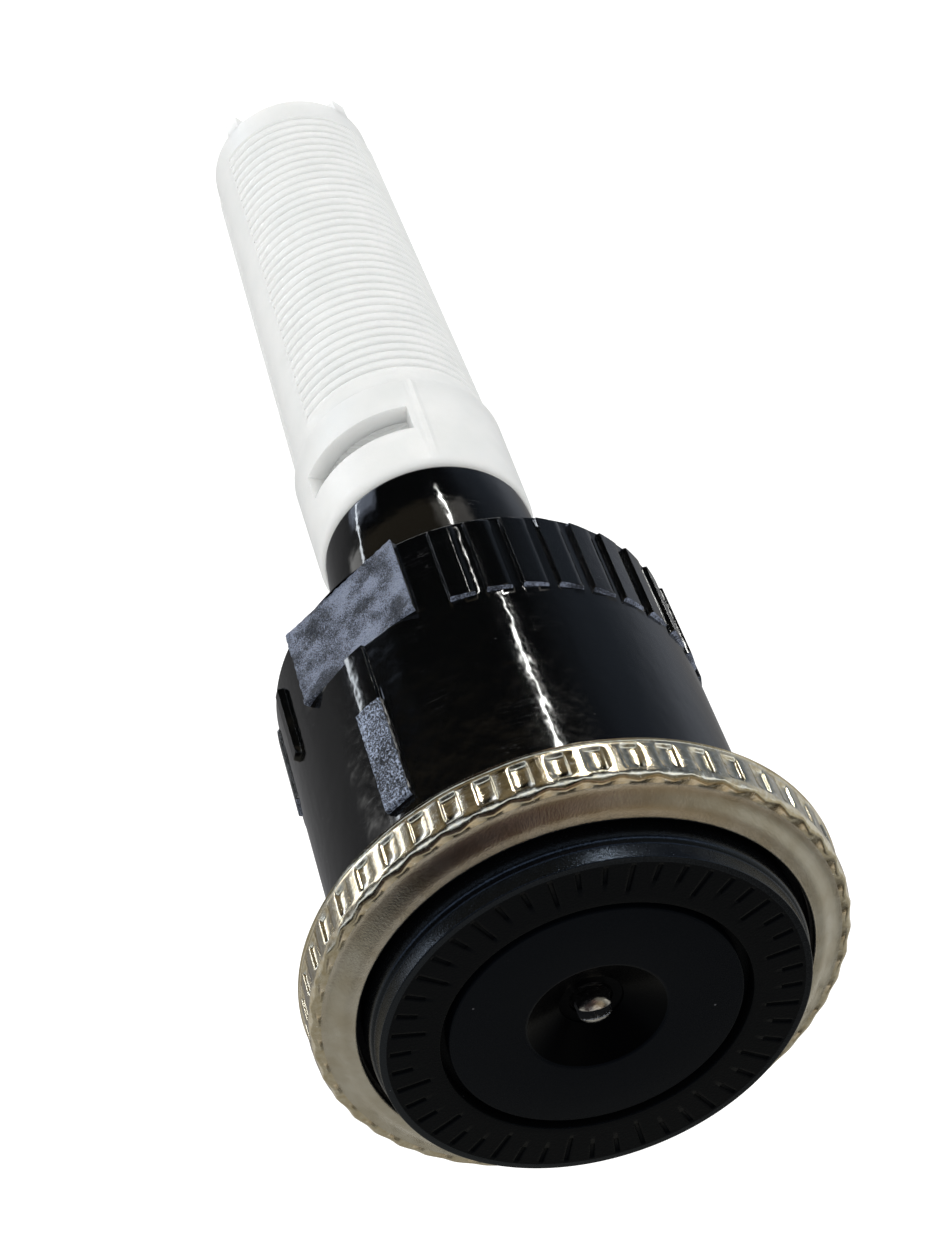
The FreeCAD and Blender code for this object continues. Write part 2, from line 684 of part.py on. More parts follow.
def make_stem():
    """Hollow stem: throttle seat inside, rest shoulder outside."""
    body = add_body("stem")
    turned(body, "tube", [
        (dim.stem_bore_radius, dim.stem_end_level),
        (dim.stem_radius, dim.stem_end_level),
        (dim.stem_radius, dim.tube_top_level + 0.1),
        (dim.stem_collar_radius, dim.tube_top_level + 0.1),
        (dim.stem_collar_radius, dim.nozzle_level - 0.05),
        (dim.stem_radius, dim.nozzle_level - 0.05),
        (dim.stem_radius, dim.stem_top_level),
        (dim.stem_bore_radius, dim.stem_top_level),
        (dim.stem_bore_radius, dim.seat_level + 2.6),
        (dim.seat_radius, dim.seat_level + 2),
        (dim.seat_radius, dim.seat_level),
        (dim.stem_bore_radius, dim.seat_level),
    ])
    cut_clip_groove(body, "stem_clip", dim.stem_radius)
    window = radial_bar(body, "window", dim.stem_bore_radius - 0.3, dim.stem_radius + 0.4,
                        1.9, 15.9, 1.35, cut=True)
    round_pattern(body, "windows", [window], 4)
    keyway = radial_bar(body, "keyway", 2.0, dim.stem_bore_radius + 0.26, 0.7, dim.stem_end_level - 0.1,
                        dim.seat_level - dim.stem_end_level + 0.1, cut=True, azimuth=60)
    round_pattern(body, "keyways", [keyway], 3)


def make_arc_cam():
    """Fixed shutter on top of the stem."""
    body = add_body("arc_cam")
    bore = dim.shaft_radius + dim.turn_gap
    plug_radius = dim.stem_bore_radius - 0.03
    hub_radius = dim.stem_radius + 0.6
    rim_radius = dim.nozzle_bore_radius - dim.slide_gap
    top = dim.stem_top_level + dim.shutter_height
    turned(body, "hub", [
        (bore, dim.stem_top_level - 1),
        (plug_radius, dim.stem_top_level - 1),
        (plug_radius, dim.stem_top_level),
        (hub_radius, dim.stem_top_level),
        (hub_radius, top),
        (bore, top),
    ])
    turned(body, "shutter", [
        (hub_radius - 0.2, dim.stem_top_level),
        (rim_radius, dim.stem_top_level),
        (rim_radius, top),
        (hub_radius - 0.2, top),
    ], angle=dim.arc_sector)
    cut_seal_groove(body, "shaft_seal", bore)


def make_spring_seat():
    """Flanged ring that the return spring pushes down on."""
    body = add_body("spring_seat")
    inner = dim.stem_radius + 0.03
    outer = dim.tube_bore_radius - 0.1
    underside = dim.spring_seat_level - 0.95
    turned(body, "ring", [
        (inner, underside),
        (outer, underside),
        (outer, dim.spring_seat_level),
        (inner, dim.spring_seat_level),
    ])
    notch = radial_bar(body, "notch", outer - 0.32, outer + 0.5, dim.key_width + 0.2,
                       underside - 0.15, 1.3, cut=True)
    round_pattern(body, "notches", [notch], 3)


def make_return_spring():
    """Helical compression spring that pulls the stem back down."""
    body = add_body("return_spring")
    wire = dim.spring_wire / 2
    low = dim.spring_seat_level + wire + 0.05
    span = dim.spring_top_level - dim.spring_seat_level - dim.spring_wire - 0.1
    sketch = section_sketch(body, "wire_section")
    draw_circle(sketch, dim.spring_radius, low, wire)
    helix = body.newObject("PartDesign::AdditiveHelix", "coils")
    helix.Profile = sketch
    helix.ReferenceAxis = (sketch, ["V_Axis"])
    helix.Mode = "height-turns-angle"
    helix.Height = span.number
    helix.Turns = dim.spring_turns.number
    bind(helix, "Height", span)
    bind(helix, "Turns", dim.spring_turns)
    doc.recompute()


def make_arc_nozzle():
    """Cup with the moving shutter; notches ride on the arc collar's splines."""
    body = add_body("arc_nozzle")
    bore = dim.stem_radius + dim.slide_gap
    rim = dim.sleeve_bore_radius - 0.1
    floor = dim.nozzle_level + dim.nozzle_floor
    wall = dim.nozzle_bore_radius + 1.2
    turned(body, "cup", [
        (bore, dim.nozzle_level),
        (rim, dim.nozzle_level),
        (rim, floor),
        (wall, floor),
        (wall, dim.nozzle_top_level),
        (dim.nozzle_bore_radius, dim.nozzle_top_level),
        (dim.nozzle_bore_radius, floor),
        (bore, floor),
    ])
    low = dim.stem_top_level - 1.05
    high = dim.stem_top_level - dim.slide_gap
    inner = dim.stem_radius + 0.66
    outer = dim.nozzle_bore_radius + 0.2
    turned(body, "shutter", [
        (inner, low), (outer, low), (outer, high), (inner, high),
    ], angle=dim.arc_sector, azimuth=60)
    cut_seal_groove(body, "nozzle_seal", bore)
    notch = radial_bar(body, "notch", rim - 0.48, rim + 0.6, 1.25, dim.nozzle_level - 0.1,
                       dim.nozzle_floor + 0.2, cut=True)
    round_pattern(body, "notches", [notch], dim.spline_count)


# ---------------------------------------------------------- radius control

def make_adjust_shaft():
    """Steel shaft: slotted dome on top, throttle screw at the bottom."""
    body = add_body("adjust_shaft")
    turned(body, "rod", [
        (0, dim.shaft_end_level),
        (dim.shaft_radius - 0.2, dim.shaft_end_level),
        (dim.shaft_radius, dim.shaft_end_level + 0.2),
        (dim.shaft_radius, dim.shaft_head_level),
        (dim.shaft_head_radius, dim.shaft_head_level + 0.15),
        (dim.shaft_head_radius, dim.shaft_top_level),
        (0, dim.shaft_top_level),
    ])
    soften(body, "dome", 0.45, [(dim.shaft_head_radius, dim.shaft_top_level)])
    cut_clip_groove(body, "shaft_clip", dim.shaft_radius)
    radial_bar(body, "driver_slot", -dim.shaft_radius - 1, dim.shaft_radius + 1, dim.slot_width,
               dim.shaft_top_level - dim.slot_depth, dim.slot_depth + 0.3, cut=True,
               azimuth=dim.slot_azimuth)
    start = dim.shaft_end_level + 0.1
    crest_radius = dim.shaft_radius + 0.05
    root_radius = dim.shaft_radius - 0.16
    sketch = section_sketch(body, "screw_outline")
    draw_outline(sketch, [
        (crest_radius, start),
        (root_radius, start + 0.2),
        (root_radius, start + 0.3),
        (crest_radius, start + 0.5),
    ])
    helix_cut(body, "throttle_screw", sketch, dim.screw_pitch, dim.screw_pitch * 6)


def make_throttle_plug():
    """Cone that closes the seat; its fins run in the stem's keyways."""
    body = add_body("throttle_plug")
    bore = dim.shaft_radius + 0.03
    low = -3.0
    turned(body, "cone", [
        (bore, low), (2.1, low), (2.1, -1.0), (1.35, 0), (bore, 0),
    ])
    fin = radial_bar(body, "fin", 1.9, dim.stem_bore_radius + 0.18, 0.54, low, 1.8, azimuth=60)
    round_pattern(body, "fins", [fin], 3)


def make_damper_stator():
    """Disc that stands still in the grease while the rotor turns round it."""
    body = add_body("damper_stator")
    bore = dim.shaft_radius + 0.01
    hub = dim.stator_hub_radius
    foot = dim.cavity_floor_level + 0.1
    low = foot + 0.3
    high = low + 0.8
    top = high + 0.5
    turned(body, "disc", [
        (bore, foot),
        (hub, foot),
        (hub, low),
        (dim.stator_radius, low),
        (dim.stator_radius, high),
        (hub, high),
        (hub, top),
        (bore, top),
    ])
    sketch = level_sketch(body, "bleed_outline", low - 0.1)
    draw_circle(sketch, 4.5, 0, 0.5)
    hole = rise(body, "bleed_hole", sketch, 1.0, cut=True)
    round_pattern(body, "bleed_holes", [hole], 6)


# ------------------------------------------------------------------- rotor

def make_rotor_plate():
    """Black disc that spins: stream channels below, damper cavity inside."""
    body = add_body("rotor_plate")
    turned(body, "disc", [
        (dim.rotor_bore_radius, dim.rotor_hub_level),
        (dim.rotor_hub_radius, dim.rotor_hub_level),
        (dim.rotor_radius, dim.rotor_rim_level),
        (dim.rotor_radius, dim.rotor_step_level),
        (dim.rotor_face_radius + 0.02, dim.rotor_step_level + 0.1),
        (dim.rotor_face_radius, dim.face_level - 0.06),
        (dim.rotor_face_radius - 0.06, dim.face_level),
        (dim.cap_bore_radius, dim.face_level),
        (dim.cap_bore_radius, dim.cap_ledge_level),
        (dim.cavity_radius, dim.cap_ledge_level),
        (dim.cavity_radius, dim.cavity_floor_level),
        (dim.damper_seal_pocket, dim.cavity_floor_level),
        (dim.damper_seal_pocket, dim.damper_seal_level),
        (dim.rotor_bore_radius, dim.damper_seal_level),
    ])
    soften(body, "shoulder", 0.22, [(dim.rotor_radius, dim.rotor_step_level)])
    add_stream_channels(body)
    add_face_ticks(body)


def add_stream_channels(body):
    """Skewed half-round channels that throw the streams and spin the rotor."""
    skew = 14.0
    climb = (dim.rotor_rim_level - dim.rotor_hub_level).number
    reach = (dim.rotor_radius - dim.rotor_hub_radius).number
    slope = math.degrees(math.atan2(climb, reach))
    inset = 1.2
    length = 16
    start_level = dim.rotor_hub_level.number - inset * climb / reach - 0.1
    sketch = body.newObject("Sketcher::SketchObject", "channel_section")
    sketch.AttachmentSupport = [(origin_feature(body, "XY_Plane"), "")]
    sketch.MapMode = "FlatFace"
    tilt = FreeCAD.Rotation(FreeCAD.Vector(0, 1, 0), 90 - slope)
    swing = FreeCAD.Rotation(UP, skew)
    start = FreeCAD.Vector(dim.rotor_hub_radius.number - inset, 0, start_level)
    sketch.AttachmentOffset = FreeCAD.Placement(start, swing.multiply(tilt))
    draw_circle(sketch, 0, 0, dim.channel_radius)
    before = body.Shape.Volume
    channel = body.newObject("PartDesign::Pocket", "channel")
    channel.Profile = sketch
    channel.Length = length
    channel.Reversed = True
    require_change(body, before, "channel")
    ring = body.newObject("PartDesign::PolarPattern", "channels")
    ring.Originals = [channel]
    ring.Axis = (origin_feature(body, "Z_Axis"), [""])
    ring.Angle = 360
    ring.Occurrences = int(dim.channel_count.number)
    bind(ring, "Occurrences", dim.channel_count)
    body.Tip = ring
    doc.recompute()


def add_face_ticks(body):
    """Plain engraved ticks round the face; every third one is longer."""
    depth = 0.12
    step = 360.0 / dim.tick_count.number
    for index, inner in enumerate((9.4, 10.1, 10.1)):
        tick = radial_bar(body, f"tick_{index}", inner, 11.2, 0.24, dim.face_level - depth,
                          depth + 0.2, cut=True, azimuth=index * step)
        round_pattern(body, f"ticks_{index}", [tick], dim.tick_count / 3)


def make_rotor_cap():
    """Disc that closes the damper, with a conical recess over the driver slot."""
    body = add_body("rotor_cap")
    top = dim.face_level - 0.1
    bore = dim.shaft_radius + 0.1
    plug_radius = dim.cavity_radius - dim.turn_gap
    ledge = dim.cap_ledge_level + 0.01
    cone_end = (1.75, 26.3)
    cone_floor = 26.15
    turned(body, "cap", [
        (bore, dim.cap_underside_level),
        (plug_radius, dim.cap_underside_level),
        (plug_radius, ledge),
        (dim.cap_radius, ledge),
        (dim.cap_radius, top - 0.15),
        (dim.cap_radius - 0.15, top),
        (dim.cone_radius, top),
        cone_end,
        (cone_end[0], cone_floor),
        (bore, cone_floor),
    ])
    cut_seal_groove(body, "cap_seal", bore)


def make_lower_bushing():
    """Bearing in the rotor hub."""
    body = add_body("lower_bushing")
    bore = dim.shaft_radius + dim.turn_gap
    outer = dim.rotor_bore_radius - 0.02
    low = dim.rotor_hub_level + 0.05
    high = dim.damper_seal_level - 0.02
    turned(body, "bush", [(bore, low), (outer, low), (outer, high), (bore, high)])


def make_damper_seal():
    """U-cup that keeps the grease in the rotor."""
    body = add_body("damper_seal")
    bore = dim.shaft_radius + dim.turn_gap
    outer = dim.damper_seal_pocket - 0.04
    low = dim.damper_seal_level + 0.02
    high = dim.cavity_floor_level - 0.05
    root = low + 0.53
    turned(body, "cup", [
        (bore, low),
        (outer, low),
        (outer, high),
        (outer - 0.41, high),
        (outer - 0.66, root),
        (bore + 0.55, root),
        (bore + 0.3, high),
        (bore, high),
    ])


def make_thrust_washer():
    """Slippery washer between the stator's hub and the rotor cap."""
    body = add_body("thrust_washer")
    inner = dim.shaft_radius + 0.1
    outer = dim.stator_hub_radius + 0.2
    low = dim.cap_underside_level - 0.37
    high = dim.cap_underside_level - 0.03
    turned(body, "washer", [(inner, low), (outer, low), (outer, high), (inner, high)])


# ------------------------------------------------------------------ filter

def make_filter_basket():
    """White basket: plug into the inlet tube, slotted collar, tapered screen."""
    body = add_body("filter_basket")
    collar_top = dim.spigot_end_level - 0.05
    plug_radius = dim.tube_bore_radius - dim.turn_gap
    floor = dim.basket_end_level + dim.basket_wall + 0.1
    turned(body, "shell", [
        (0, dim.basket_end_level),
        (dim.basket_end_radius - 0.3, dim.basket_end_level),
        (dim.basket_end_radius, dim.basket_end_level + 0.3),
        (dim.basket_top_radius, dim.filter_collar_end_level),
        (dim.filter_collar_radius, dim.filter_collar_end_level + 0.35),
        (dim.filter_collar_radius, collar_top - 0.7),
        (dim.filter_collar_radius - 0.6, collar_top),
        (plug_radius, collar_top),
        (plug_radius, dim.plug_top_level - 0.25),
        (plug_radius - 0.25, dim.plug_top_level),
        (dim.plug_bore_radius, dim.plug_top_level),
        (dim.plug_bore_radius, collar_top - 1.05),
        (dim.basket_top_radius - dim.basket_wall, collar_top - 1.85),
        (dim.basket_top_radius - dim.basket_wall, dim.filter_collar_end_level),
        (dim.basket_end_radius - dim.basket_wall, floor),
        (0, floor),
    ])
    soften(body, "collar_round", 0.5, [(dim.filter_collar_radius, collar_top - 0.7)])
    radial_bar(body, "collar_ridge", dim.basket_top_radius - 0.17, dim.filter_collar_radius + 0.04,
               0.4, dim.filter_collar_end_level + 0.4, 7.7, azimuth=dim.ridge_azimuth)
    foot = radial_bar(body, "foot", dim.basket_end_radius - 1.65, dim.basket_end_radius, 1.1,
                      dim.basket_end_level - dim.foot_height, dim.foot_height + 0.4,
                      azimuth=dim.foot_azimuth)
    round_pattern(body, "feet", [foot], 4)
    cut_side_windows(body)
    cut_screen(body)


def cut_side_windows(body):
    """Two wide windows through the collar."""
    inner = dim.plug_bore_radius + 0.1
    outer = dim.filter_collar_radius + 0.7
    for name, azimuth in (("front_window", -104.0), ("rear_window", 76.0)):
        turned(body, name, [
            (inner, dim.window_low_level),
            (outer, dim.window_low_level),
            (outer, dim.window_high_level),
            (inner, dim.window_high_level),
        ], cut=True, angle=dim.window_angle, azimuth=azimuth)


def cut_screen(body):
    """Fine slits in two panels, divided by two plain bars."""
    inner = dim.basket_end_radius - dim.basket_wall * 2
    outer = dim.basket_top_radius + dim.basket_wall
    low = dim.basket_end_level + dim.screen_foot
    high = low + dim.screen_slit
    first = turned(body, "slit", [
        (inner, low), (outer, low), (outer, high), (inner, high),
    ], cut=True, angle=dim.screen_angle, azimuth=-195)
    stack = body.newObject("PartDesign::MultiTransform", "screen")
    stack.Originals = [first]
    rows = body.newObject("PartDesign::LinearPattern", "slit_rows")
    rows.Direction = (first.Profile[0], ["V_Axis"])
    rows.Length = (dim.screen_pitch * (dim.screen_count.number - 1)).number
    bind(rows, "Length", dim.screen_pitch * (dim.screen_count.number - 1))
    rows.Occurrences = int(dim.screen_count.number)
    bind(rows, "Occurrences", dim.screen_count)
    sides = body.newObject("PartDesign::PolarPattern", "two_panels")
    sides.Axis = (first.Profile[0], ["V_Axis"])
    sides.Angle = 360
    sides.Occurrences = 2
    stack.Transformations = [rows, sides]
    body.Tip = stack
    before = body.Shape.Volume
    doc.recompute()
    if body.Shape.Volume >= before:
        raise RuntimeError("the screen has no slits")


def make_everything():
    make_base_body()
    make_inlet_tube()
    make_riser_gasket()
    make_stem_guide()
    ring_seal("stem_seal")
    snap_ring("collar_retainer", 345.0, 40)
    make_arc_collar()
    make_steel_crown()
    ring_seal("collar_seal")
    make_stem()
    make_arc_cam()
    make_spring_seat()
    snap_ring("stem_clip", 300.0)
    make_return_spring()
    make_arc_nozzle()
    ring_seal("nozzle_seal")
    make_adjust_shaft()
    snap_ring("shaft_clip", 290.0)
    ring_seal("shaft_seal")
    make_throttle_plug()
    make_damper_stator()
    make_rotor_plate()
    make_rotor_cap()
    make_lower_bushing()
    make_damper_seal()
    make_thrust_washer()
    ring_seal("cap_seal")
    make_filter_basket()


def check_document():
    doc.recompute()
    for item in doc.Objects:
        if "Invalid" in item.State or "Error" in item.State:
            raise RuntimeError(f"{item.Label} failed: {item.State}")
    for part in SUB_PARTS:
        if part.Shape.isNull() or not part.Shape.isValid():
            raise RuntimeError(f"{part.Label} has no valid shape")
        if len(part.Shape.Solids) != 1:
            raise RuntimeError(f"{part.Label} has {len(part.Shape.Solids)} solids")


make_everything()
check_document()
os.makedirs(OUTPUT_FOLDER, exist_ok=True)
for sub_part in SUB_PARTS:
    sub_part.Shape.exportStep(f"{OUTPUT_FOLDER}/{sub_part.Label}.step")
    print(sub_part.Label, round(sub_part.Shape.Volume, 2))
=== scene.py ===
"""Rotary-stream pop up sprinkler nozzle with a white inlet filter, on a pale studio floor.

Lengths below are in millimetres, in the part's own frame: +Z points out of the
watering face and azimuths run from +X towards +Y.  Nearly every piece is turned
about Z, so a piece is a loft: one closed (radius, level) outline for each azimuth.
"""
import math

import bmesh
import bpy
import numpy as np
from mathutils import Matrix, Vector, noise


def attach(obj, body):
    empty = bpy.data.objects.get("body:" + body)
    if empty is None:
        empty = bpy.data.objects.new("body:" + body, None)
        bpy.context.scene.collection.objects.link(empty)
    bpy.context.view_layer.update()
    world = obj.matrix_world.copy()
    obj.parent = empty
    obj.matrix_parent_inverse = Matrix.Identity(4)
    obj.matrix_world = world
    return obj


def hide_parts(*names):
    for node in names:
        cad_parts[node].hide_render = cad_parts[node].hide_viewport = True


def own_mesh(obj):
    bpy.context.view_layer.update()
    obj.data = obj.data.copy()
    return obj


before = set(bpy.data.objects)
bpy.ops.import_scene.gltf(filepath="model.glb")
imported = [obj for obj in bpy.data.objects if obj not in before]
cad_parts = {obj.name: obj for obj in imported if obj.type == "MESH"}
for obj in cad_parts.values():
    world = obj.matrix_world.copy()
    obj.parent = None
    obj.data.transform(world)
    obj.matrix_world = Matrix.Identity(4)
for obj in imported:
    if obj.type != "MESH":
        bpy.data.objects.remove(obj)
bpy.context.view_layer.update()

MM = 0.001
FULL_TURN = 360.0
EDGE = 0.12             # width over which a moulded step rises

# Skirt; above its flat stands the marker, a wide rib on a narrower foot
RIM_RADIUS = 11.9
RIM_ROUND = (0.12, 0.15)
SKIRT_TOP = 22.2
SKIRT_TOP_RADIUS = 12.07
TOP_ROUND = (0.06, 0.08)
SKIRT_BORE = 10.9
SKIRT_FLOOR = 10.2
CLIP_GROOVE_LEVELS = (17.3, 16.5)
CLIP_GROOVE_DEPTH = 0.45
SOCKET_RADIUS = 7.45
SOCKET_FLOOR = 8.6
THREAD_PITCH = 0.907
THREAD_DEPTH = 0.49
RIB_COUNT = 28
RIB_PITCH = 10.0
RIB_AZIMUTH = -94.25
RIB_WIDTH = 1.46
RIB_FOOT = 0.35
RIB_TOP = 6.3
RIB_HEIGHT = 0.21
RIB_TILT = 0.12         # one flank of a rib stands higher than the other
FLAT_AZIMUTH = -60.75
FLAT_DISTANCE = 11.6
FLAT_HALF_WIDTH = 4.36
FLAT_TOP = 6.0
MARKS_RADIUS = 12.2     # circle on which the widths of marker and side rib are measured
MARKER_RADIUS = 12.45
MARKER_HALF_WIDTH = 0.9
MARKER_LEVELS = (10.7, 18.3)
MARKER_FOOT_RADIUS = 12.18
MARKER_FOOT_HALF_WIDTH = 0.73
MARKER_FOOT_TOP = 10.8
SIDE_RIB_AZIMUTH = -26.0
SIDE_RIB_RADIUS = 12.3
SIDE_RIB_HALF_WIDTH = 0.35
SIDE_RIB_LEVELS = (1.4, 6.9)
PIT_STEP = 0.16         # spacing of samples where the wall is eroded
POCKET_COUNT = 14
POCKET_HALF_ANGLE = 9.8
POCKET_EDGE = 0.6
POCKET_DEPTH = 7.4

# Neck
NECK_RADIUS = 6.6
TUBE_RADIUS = 6.3
NECK_END = -11.8
TUBE_BORE = 5.2
TUBE_MOUTH_RADIUS = 6.0
TUBE_MOUTH_FLOOR = 9.4
FLANGE_RADIUS = 8.4
FLANGE_TOP = 11.4
KEY_AZIMUTHS = (0, 120, 240)
KEY_HALF_ANGLE = 4.4
KEY_EDGE = 0.8
KEY_HEIGHT = 0.3

# Steel ring
RING_RADIUS = 14.9
RING_OPENING = 12.5
RING_BACK = 22.3
RING_BAND_TOP = 24.8
RING_CREST = 25.75
RING_GAUGE = 0.4
DIMPLE_COUNT = 48
DIMPLE_AZIMUTH = -91.8
DIMPLE_LEVEL = 23.55
DIMPLE_HALF_WIDTH = 0.475
DIMPLE_HALF_HEIGHT = 0.8
DIMPLE_DEPTH = 0.15
DIMPLE_SIDE_EDGE = 0.5  # in degrees
DIMPLE_END_EDGE = 0.26
WAVE_DEPTH = 0.2        # the pressed wave where the band meets the lip
WAVE_HEIGHT = 0.13

# Rotor
FACE_LEVEL = 27.7
FACE_RADIUS = 11.78
ROTOR_RADIUS = 12.05
ROTOR_RIM = 24.2
HUB_RADIUS = 4.4
HUB_LEVEL = 19.75
CHANNEL_COUNT = 14
CHANNEL_RADIUS = 0.75
CHANNEL_SKEW = 14.0
TICK_COUNT = 48
TICK_DEPTH = 0.12
TICK_HALF_ANGLE = 0.65
TICK_EDGE = 0.34        # in degrees
TICK_RADII = (11.2, 10.1, 9.4)      # outer end, inner end of a short and of a long tick
LONG_TICK_EVERY = 3
GREASE_ROOM_RADIUS = 7.0
CAP_RADIUS = 8.05
CAP_RECESS = 8.53
CAP_SEAT = 26.7
CAP_LEVEL = 27.6
CONE_RADIUS = 3.9

# Shaft
PIN_RADIUS = 1.1
PIN_END = -4.0
PIN_SCREW_TOP = 1.3
PIN_SCREW_PITCH = 0.8
PIN_SCREW_DEPTH = 0.15
PIN_CLIP_RADIUS = 0.8
PIN_CLIP_LEVELS = (16.75, 17.3)
PIN_HEAD_RADIUS = 0.97
PIN_HEAD_LEVEL = 26.0
PIN_TOP = 27.4
DOME_HEIGHT = 0.45
DOME_STEPS = 40
SLOT_AZIMUTH = -9.4
SLOT_HALF_WIDTHS = (0.29, 0.35)     # at its floor and at its mouth
SLOT_DEPTH = 0.6

# Filter
COLLAR_RADIUS = 6.8
COLLAR_TOP = -11.85
COLLAR_END = -20.7
BASKET_TOP_RADIUS = 6.37
BASKET_END_RADIUS = 5.55
BASKET_END = -56.0
BASKET_WALL = 0.8
SLIT_PITCH = 0.88
SLIT_HEIGHT = 0.34
SLIT_COUNT = 36
PANEL_STARTS = (-195.0, -15.0)
PANEL_ANGLE = 150.0
WINDOW_STARTS = (-104.0, 76.0)
WINDOW_ANGLE = 69.0
WINDOW_LEVELS = (-17.7, -15.5)
RIDGE_AZIMUTH = -109.75
RIDGE_HALF_ANGLE = 2.0
RIDGE_HEIGHT = 0.1
FILTER_EDGE = 1.6       # in degrees
INNER_COLLAR_COLUMNS = 14       # the basket's inside begins that many columns past the plug
PLUG_TOP = -7.4
PLUG_BORE = 4.4
FOOT_COUNT = 4
FOOT_AZIMUTH = -57.0
FOOT_INNER_RADIUS = 3.9
FOOT_HALF_WIDTH = 0.55
FOOT_LEVEL = -57.2
FILTER_TRAVEL = 12.0

# Return spring
SPRING_RADIUS = 4.3
SPRING_WIRE = 0.35
SPRING_LOW = -4.2
SPRING_HIGH = 7.0
SPRING_TURNS = 7

# Colours
BLACK_GLOSS = (0.0016, 0.0018, 0.002)
BLACK_ROTOR = (0.0012, 0.0013, 0.0015)
BLACK_CAP = (0.0013, 0.0017, 0.0026)
# the cap's conical recess is painted darker than the cap's face: painted shade
BLACK_CONE_SHADED = (0.0006, 0.0006, 0.0007)

# Studio: colour; azimuth, half width and fade; height, half height and fade, all in degrees
SKY_PANELS = (
    # the table top round the nozzle, seen from its side walls
    ((0.22, 0.22, 0.225), 75, 70, 45, -60, 45, 20),
    ((0.14, 0.17, 0.22), 175, 20, 40, -60, 45, 20),
    ((0.24, 0.20, 0.13), -70, 30, 30, -36, 6, 5),
    # two narrow window strips, and the paler walls beside them
    ((85.0, 85.0, 82.0), -119.5, 0.4, 1.0, -40, 4.5, 6.5),
    ((14.0, 15.0, 16.0), -23.5, 0.5, 1.2, -52, 16, 10),
    ((1.1, 1.06, 0.98), -125, 12, 9, -36, 6, 4),
    ((2.2, 2.2, 2.15), -12, 6, 7, -36, 6, 4),
    ((1.4, 1.6, 2.0), -31, 16, 7, -66, 12, 6),
    # bright horizon behind the camera, which rounded edges catch
    ((1.7, 1.9, 2.2), -90, 60, 40, 3, 3, 4),
    # the room above the table
    ((0.30, 0.285, 0.24), 45, 40, 12, 10, 35, 13),
    ((0.36, 0.345, 0.295), 142, 42, 15, -1, 21, 25),
    ((0.22, 0.13, 0.10), -120, 14, 12, 61, 4, 8),
    ((0.14, 0.13, 0.10), -160, 30, 30, 30, 20, 20),
    ((0.20, 0.155, 0.09), 145, 50, 15, 70, 14, 12),
    ((0.42, 0.40, 0.36), 90, 24, 14, 64, 9, 6),
    ((0.022, 0.012, 0.010), 0, 180, 20, 90, 30, 15),
)

# Camera: a long lens, above and in front of the nozzle, held turned
CAMERA_PLACE = (0.0, -130.14, 135.88)
CAMERA_TARGET = (-0.544, 0.01, -3.91)
CAMERA_LENS = 91.4
CAMERA_SENSOR = 36.0
CAMERA_ROLL = 160.0


# ---- shaping

def smooth_step(value, low, high):
    share = np.clip((value - low) / (high - low), 0.0, 1.0)
    return share * share * (3.0 - 2.0 * share)


def soft_box(value, low, high, edge=EDGE):
    """1 between low and high, 0 outside, with a rounded step at both ends."""
    rise = smooth_step(value, low - edge / 2, low + edge / 2)
    fall = smooth_step(value, high - edge / 2, high + edge / 2)
    return rise * (1.0 - fall)


def edge_samples(*places, edge=EDGE):
    """Samples that catch the rounded step at each place."""
    return [place + share * edge for place in places for share in (-0.5, -0.17, 0.17, 0.5)]


def turn_from(azimuth, centre):
    """Signed angle from centre to azimuth, in degrees."""
    return (azimuth - centre + 180.0) % FULL_TURN - 180.0


def across(azimuth, centre, radius):
    """Distance along the circle from centre to azimuth."""
    return np.radians(turn_from(azimuth, centre)) * radius


def round_samples(step, extra=()):
    """Sorted azimuths every step degrees, and the extra ones."""
    every = np.concatenate([np.arange(0.0, FULL_TURN, step), np.mod(np.array(extra, float), FULL_TURN)])
    every = np.unique(np.round(every, 3))
    close = np.diff(every, append=every[0] + FULL_TURN) < 0.02
    return every[~close]


def grain(first, second, size, seed=0.0):
    """Noise between about -1 and 1 over a surface, in lumps of one size."""
    first, second = np.broadcast_arrays(first, second)
    values = [noise.noise(Vector((a / size, b / size, seed)))
              for a, b in zip(first.ravel(), second.ravel())]
    return np.array(values).reshape(first.shape) * 1.6


def rounded(corners, steps=4):
    """Outline through (radius, level, round) corners, each cut back by its round."""
    outline = []
    count = len(corners)
    for index, (radius, level, size) in enumerate(corners):
        corner = np.array((radius, level))
        if size == 0:
            outline.append((radius, level))
            continue
        before = np.array(corners[index - 1][:2]) - corner
        after = np.array(corners[(index + 1) % count][:2]) - corner
        start = before / np.linalg.norm(before) * size
        end = after / np.linalg.norm(after) * size
        for share in np.linspace(0.0, 1.0, steps + 1):
            point = corner + start * (1 - share) ** 2 + end * share ** 2
            outline.append((point[0], point[1]))
    return outline


# ---- mesh making

def make_piece(name, points, faces, materials, body, stands_for=(), sharp=50.0):
    """Mesh object from points in millimetres, riding on a body."""
    mesh = bpy.data.meshes.new(name)
    mesh.from_pydata((np.asarray(points) * MM).tolist(), [], [tuple(face) for face in faces])
    piece = bpy.data.objects.new(name, mesh)
    bpy.context.scene.collection.objects.link(piece)
    for material in materials:
        mesh.materials.append(material)
    mesh.shade_smooth()
    mesh.set_sharp_from_angle(angle=math.radians(sharp))
    if stands_for:
        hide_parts(*stands_for)
    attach(piece, body)
    return piece


def merge_poles(piece):
    """Joins the points that fell together on the axis."""
    shell = bmesh.new()
    shell.from_mesh(piece.data)
    bmesh.ops.remove_doubles(shell, verts=shell.verts, dist=1e-7)
    shell.to_mesh(piece.data)
    shell.free()


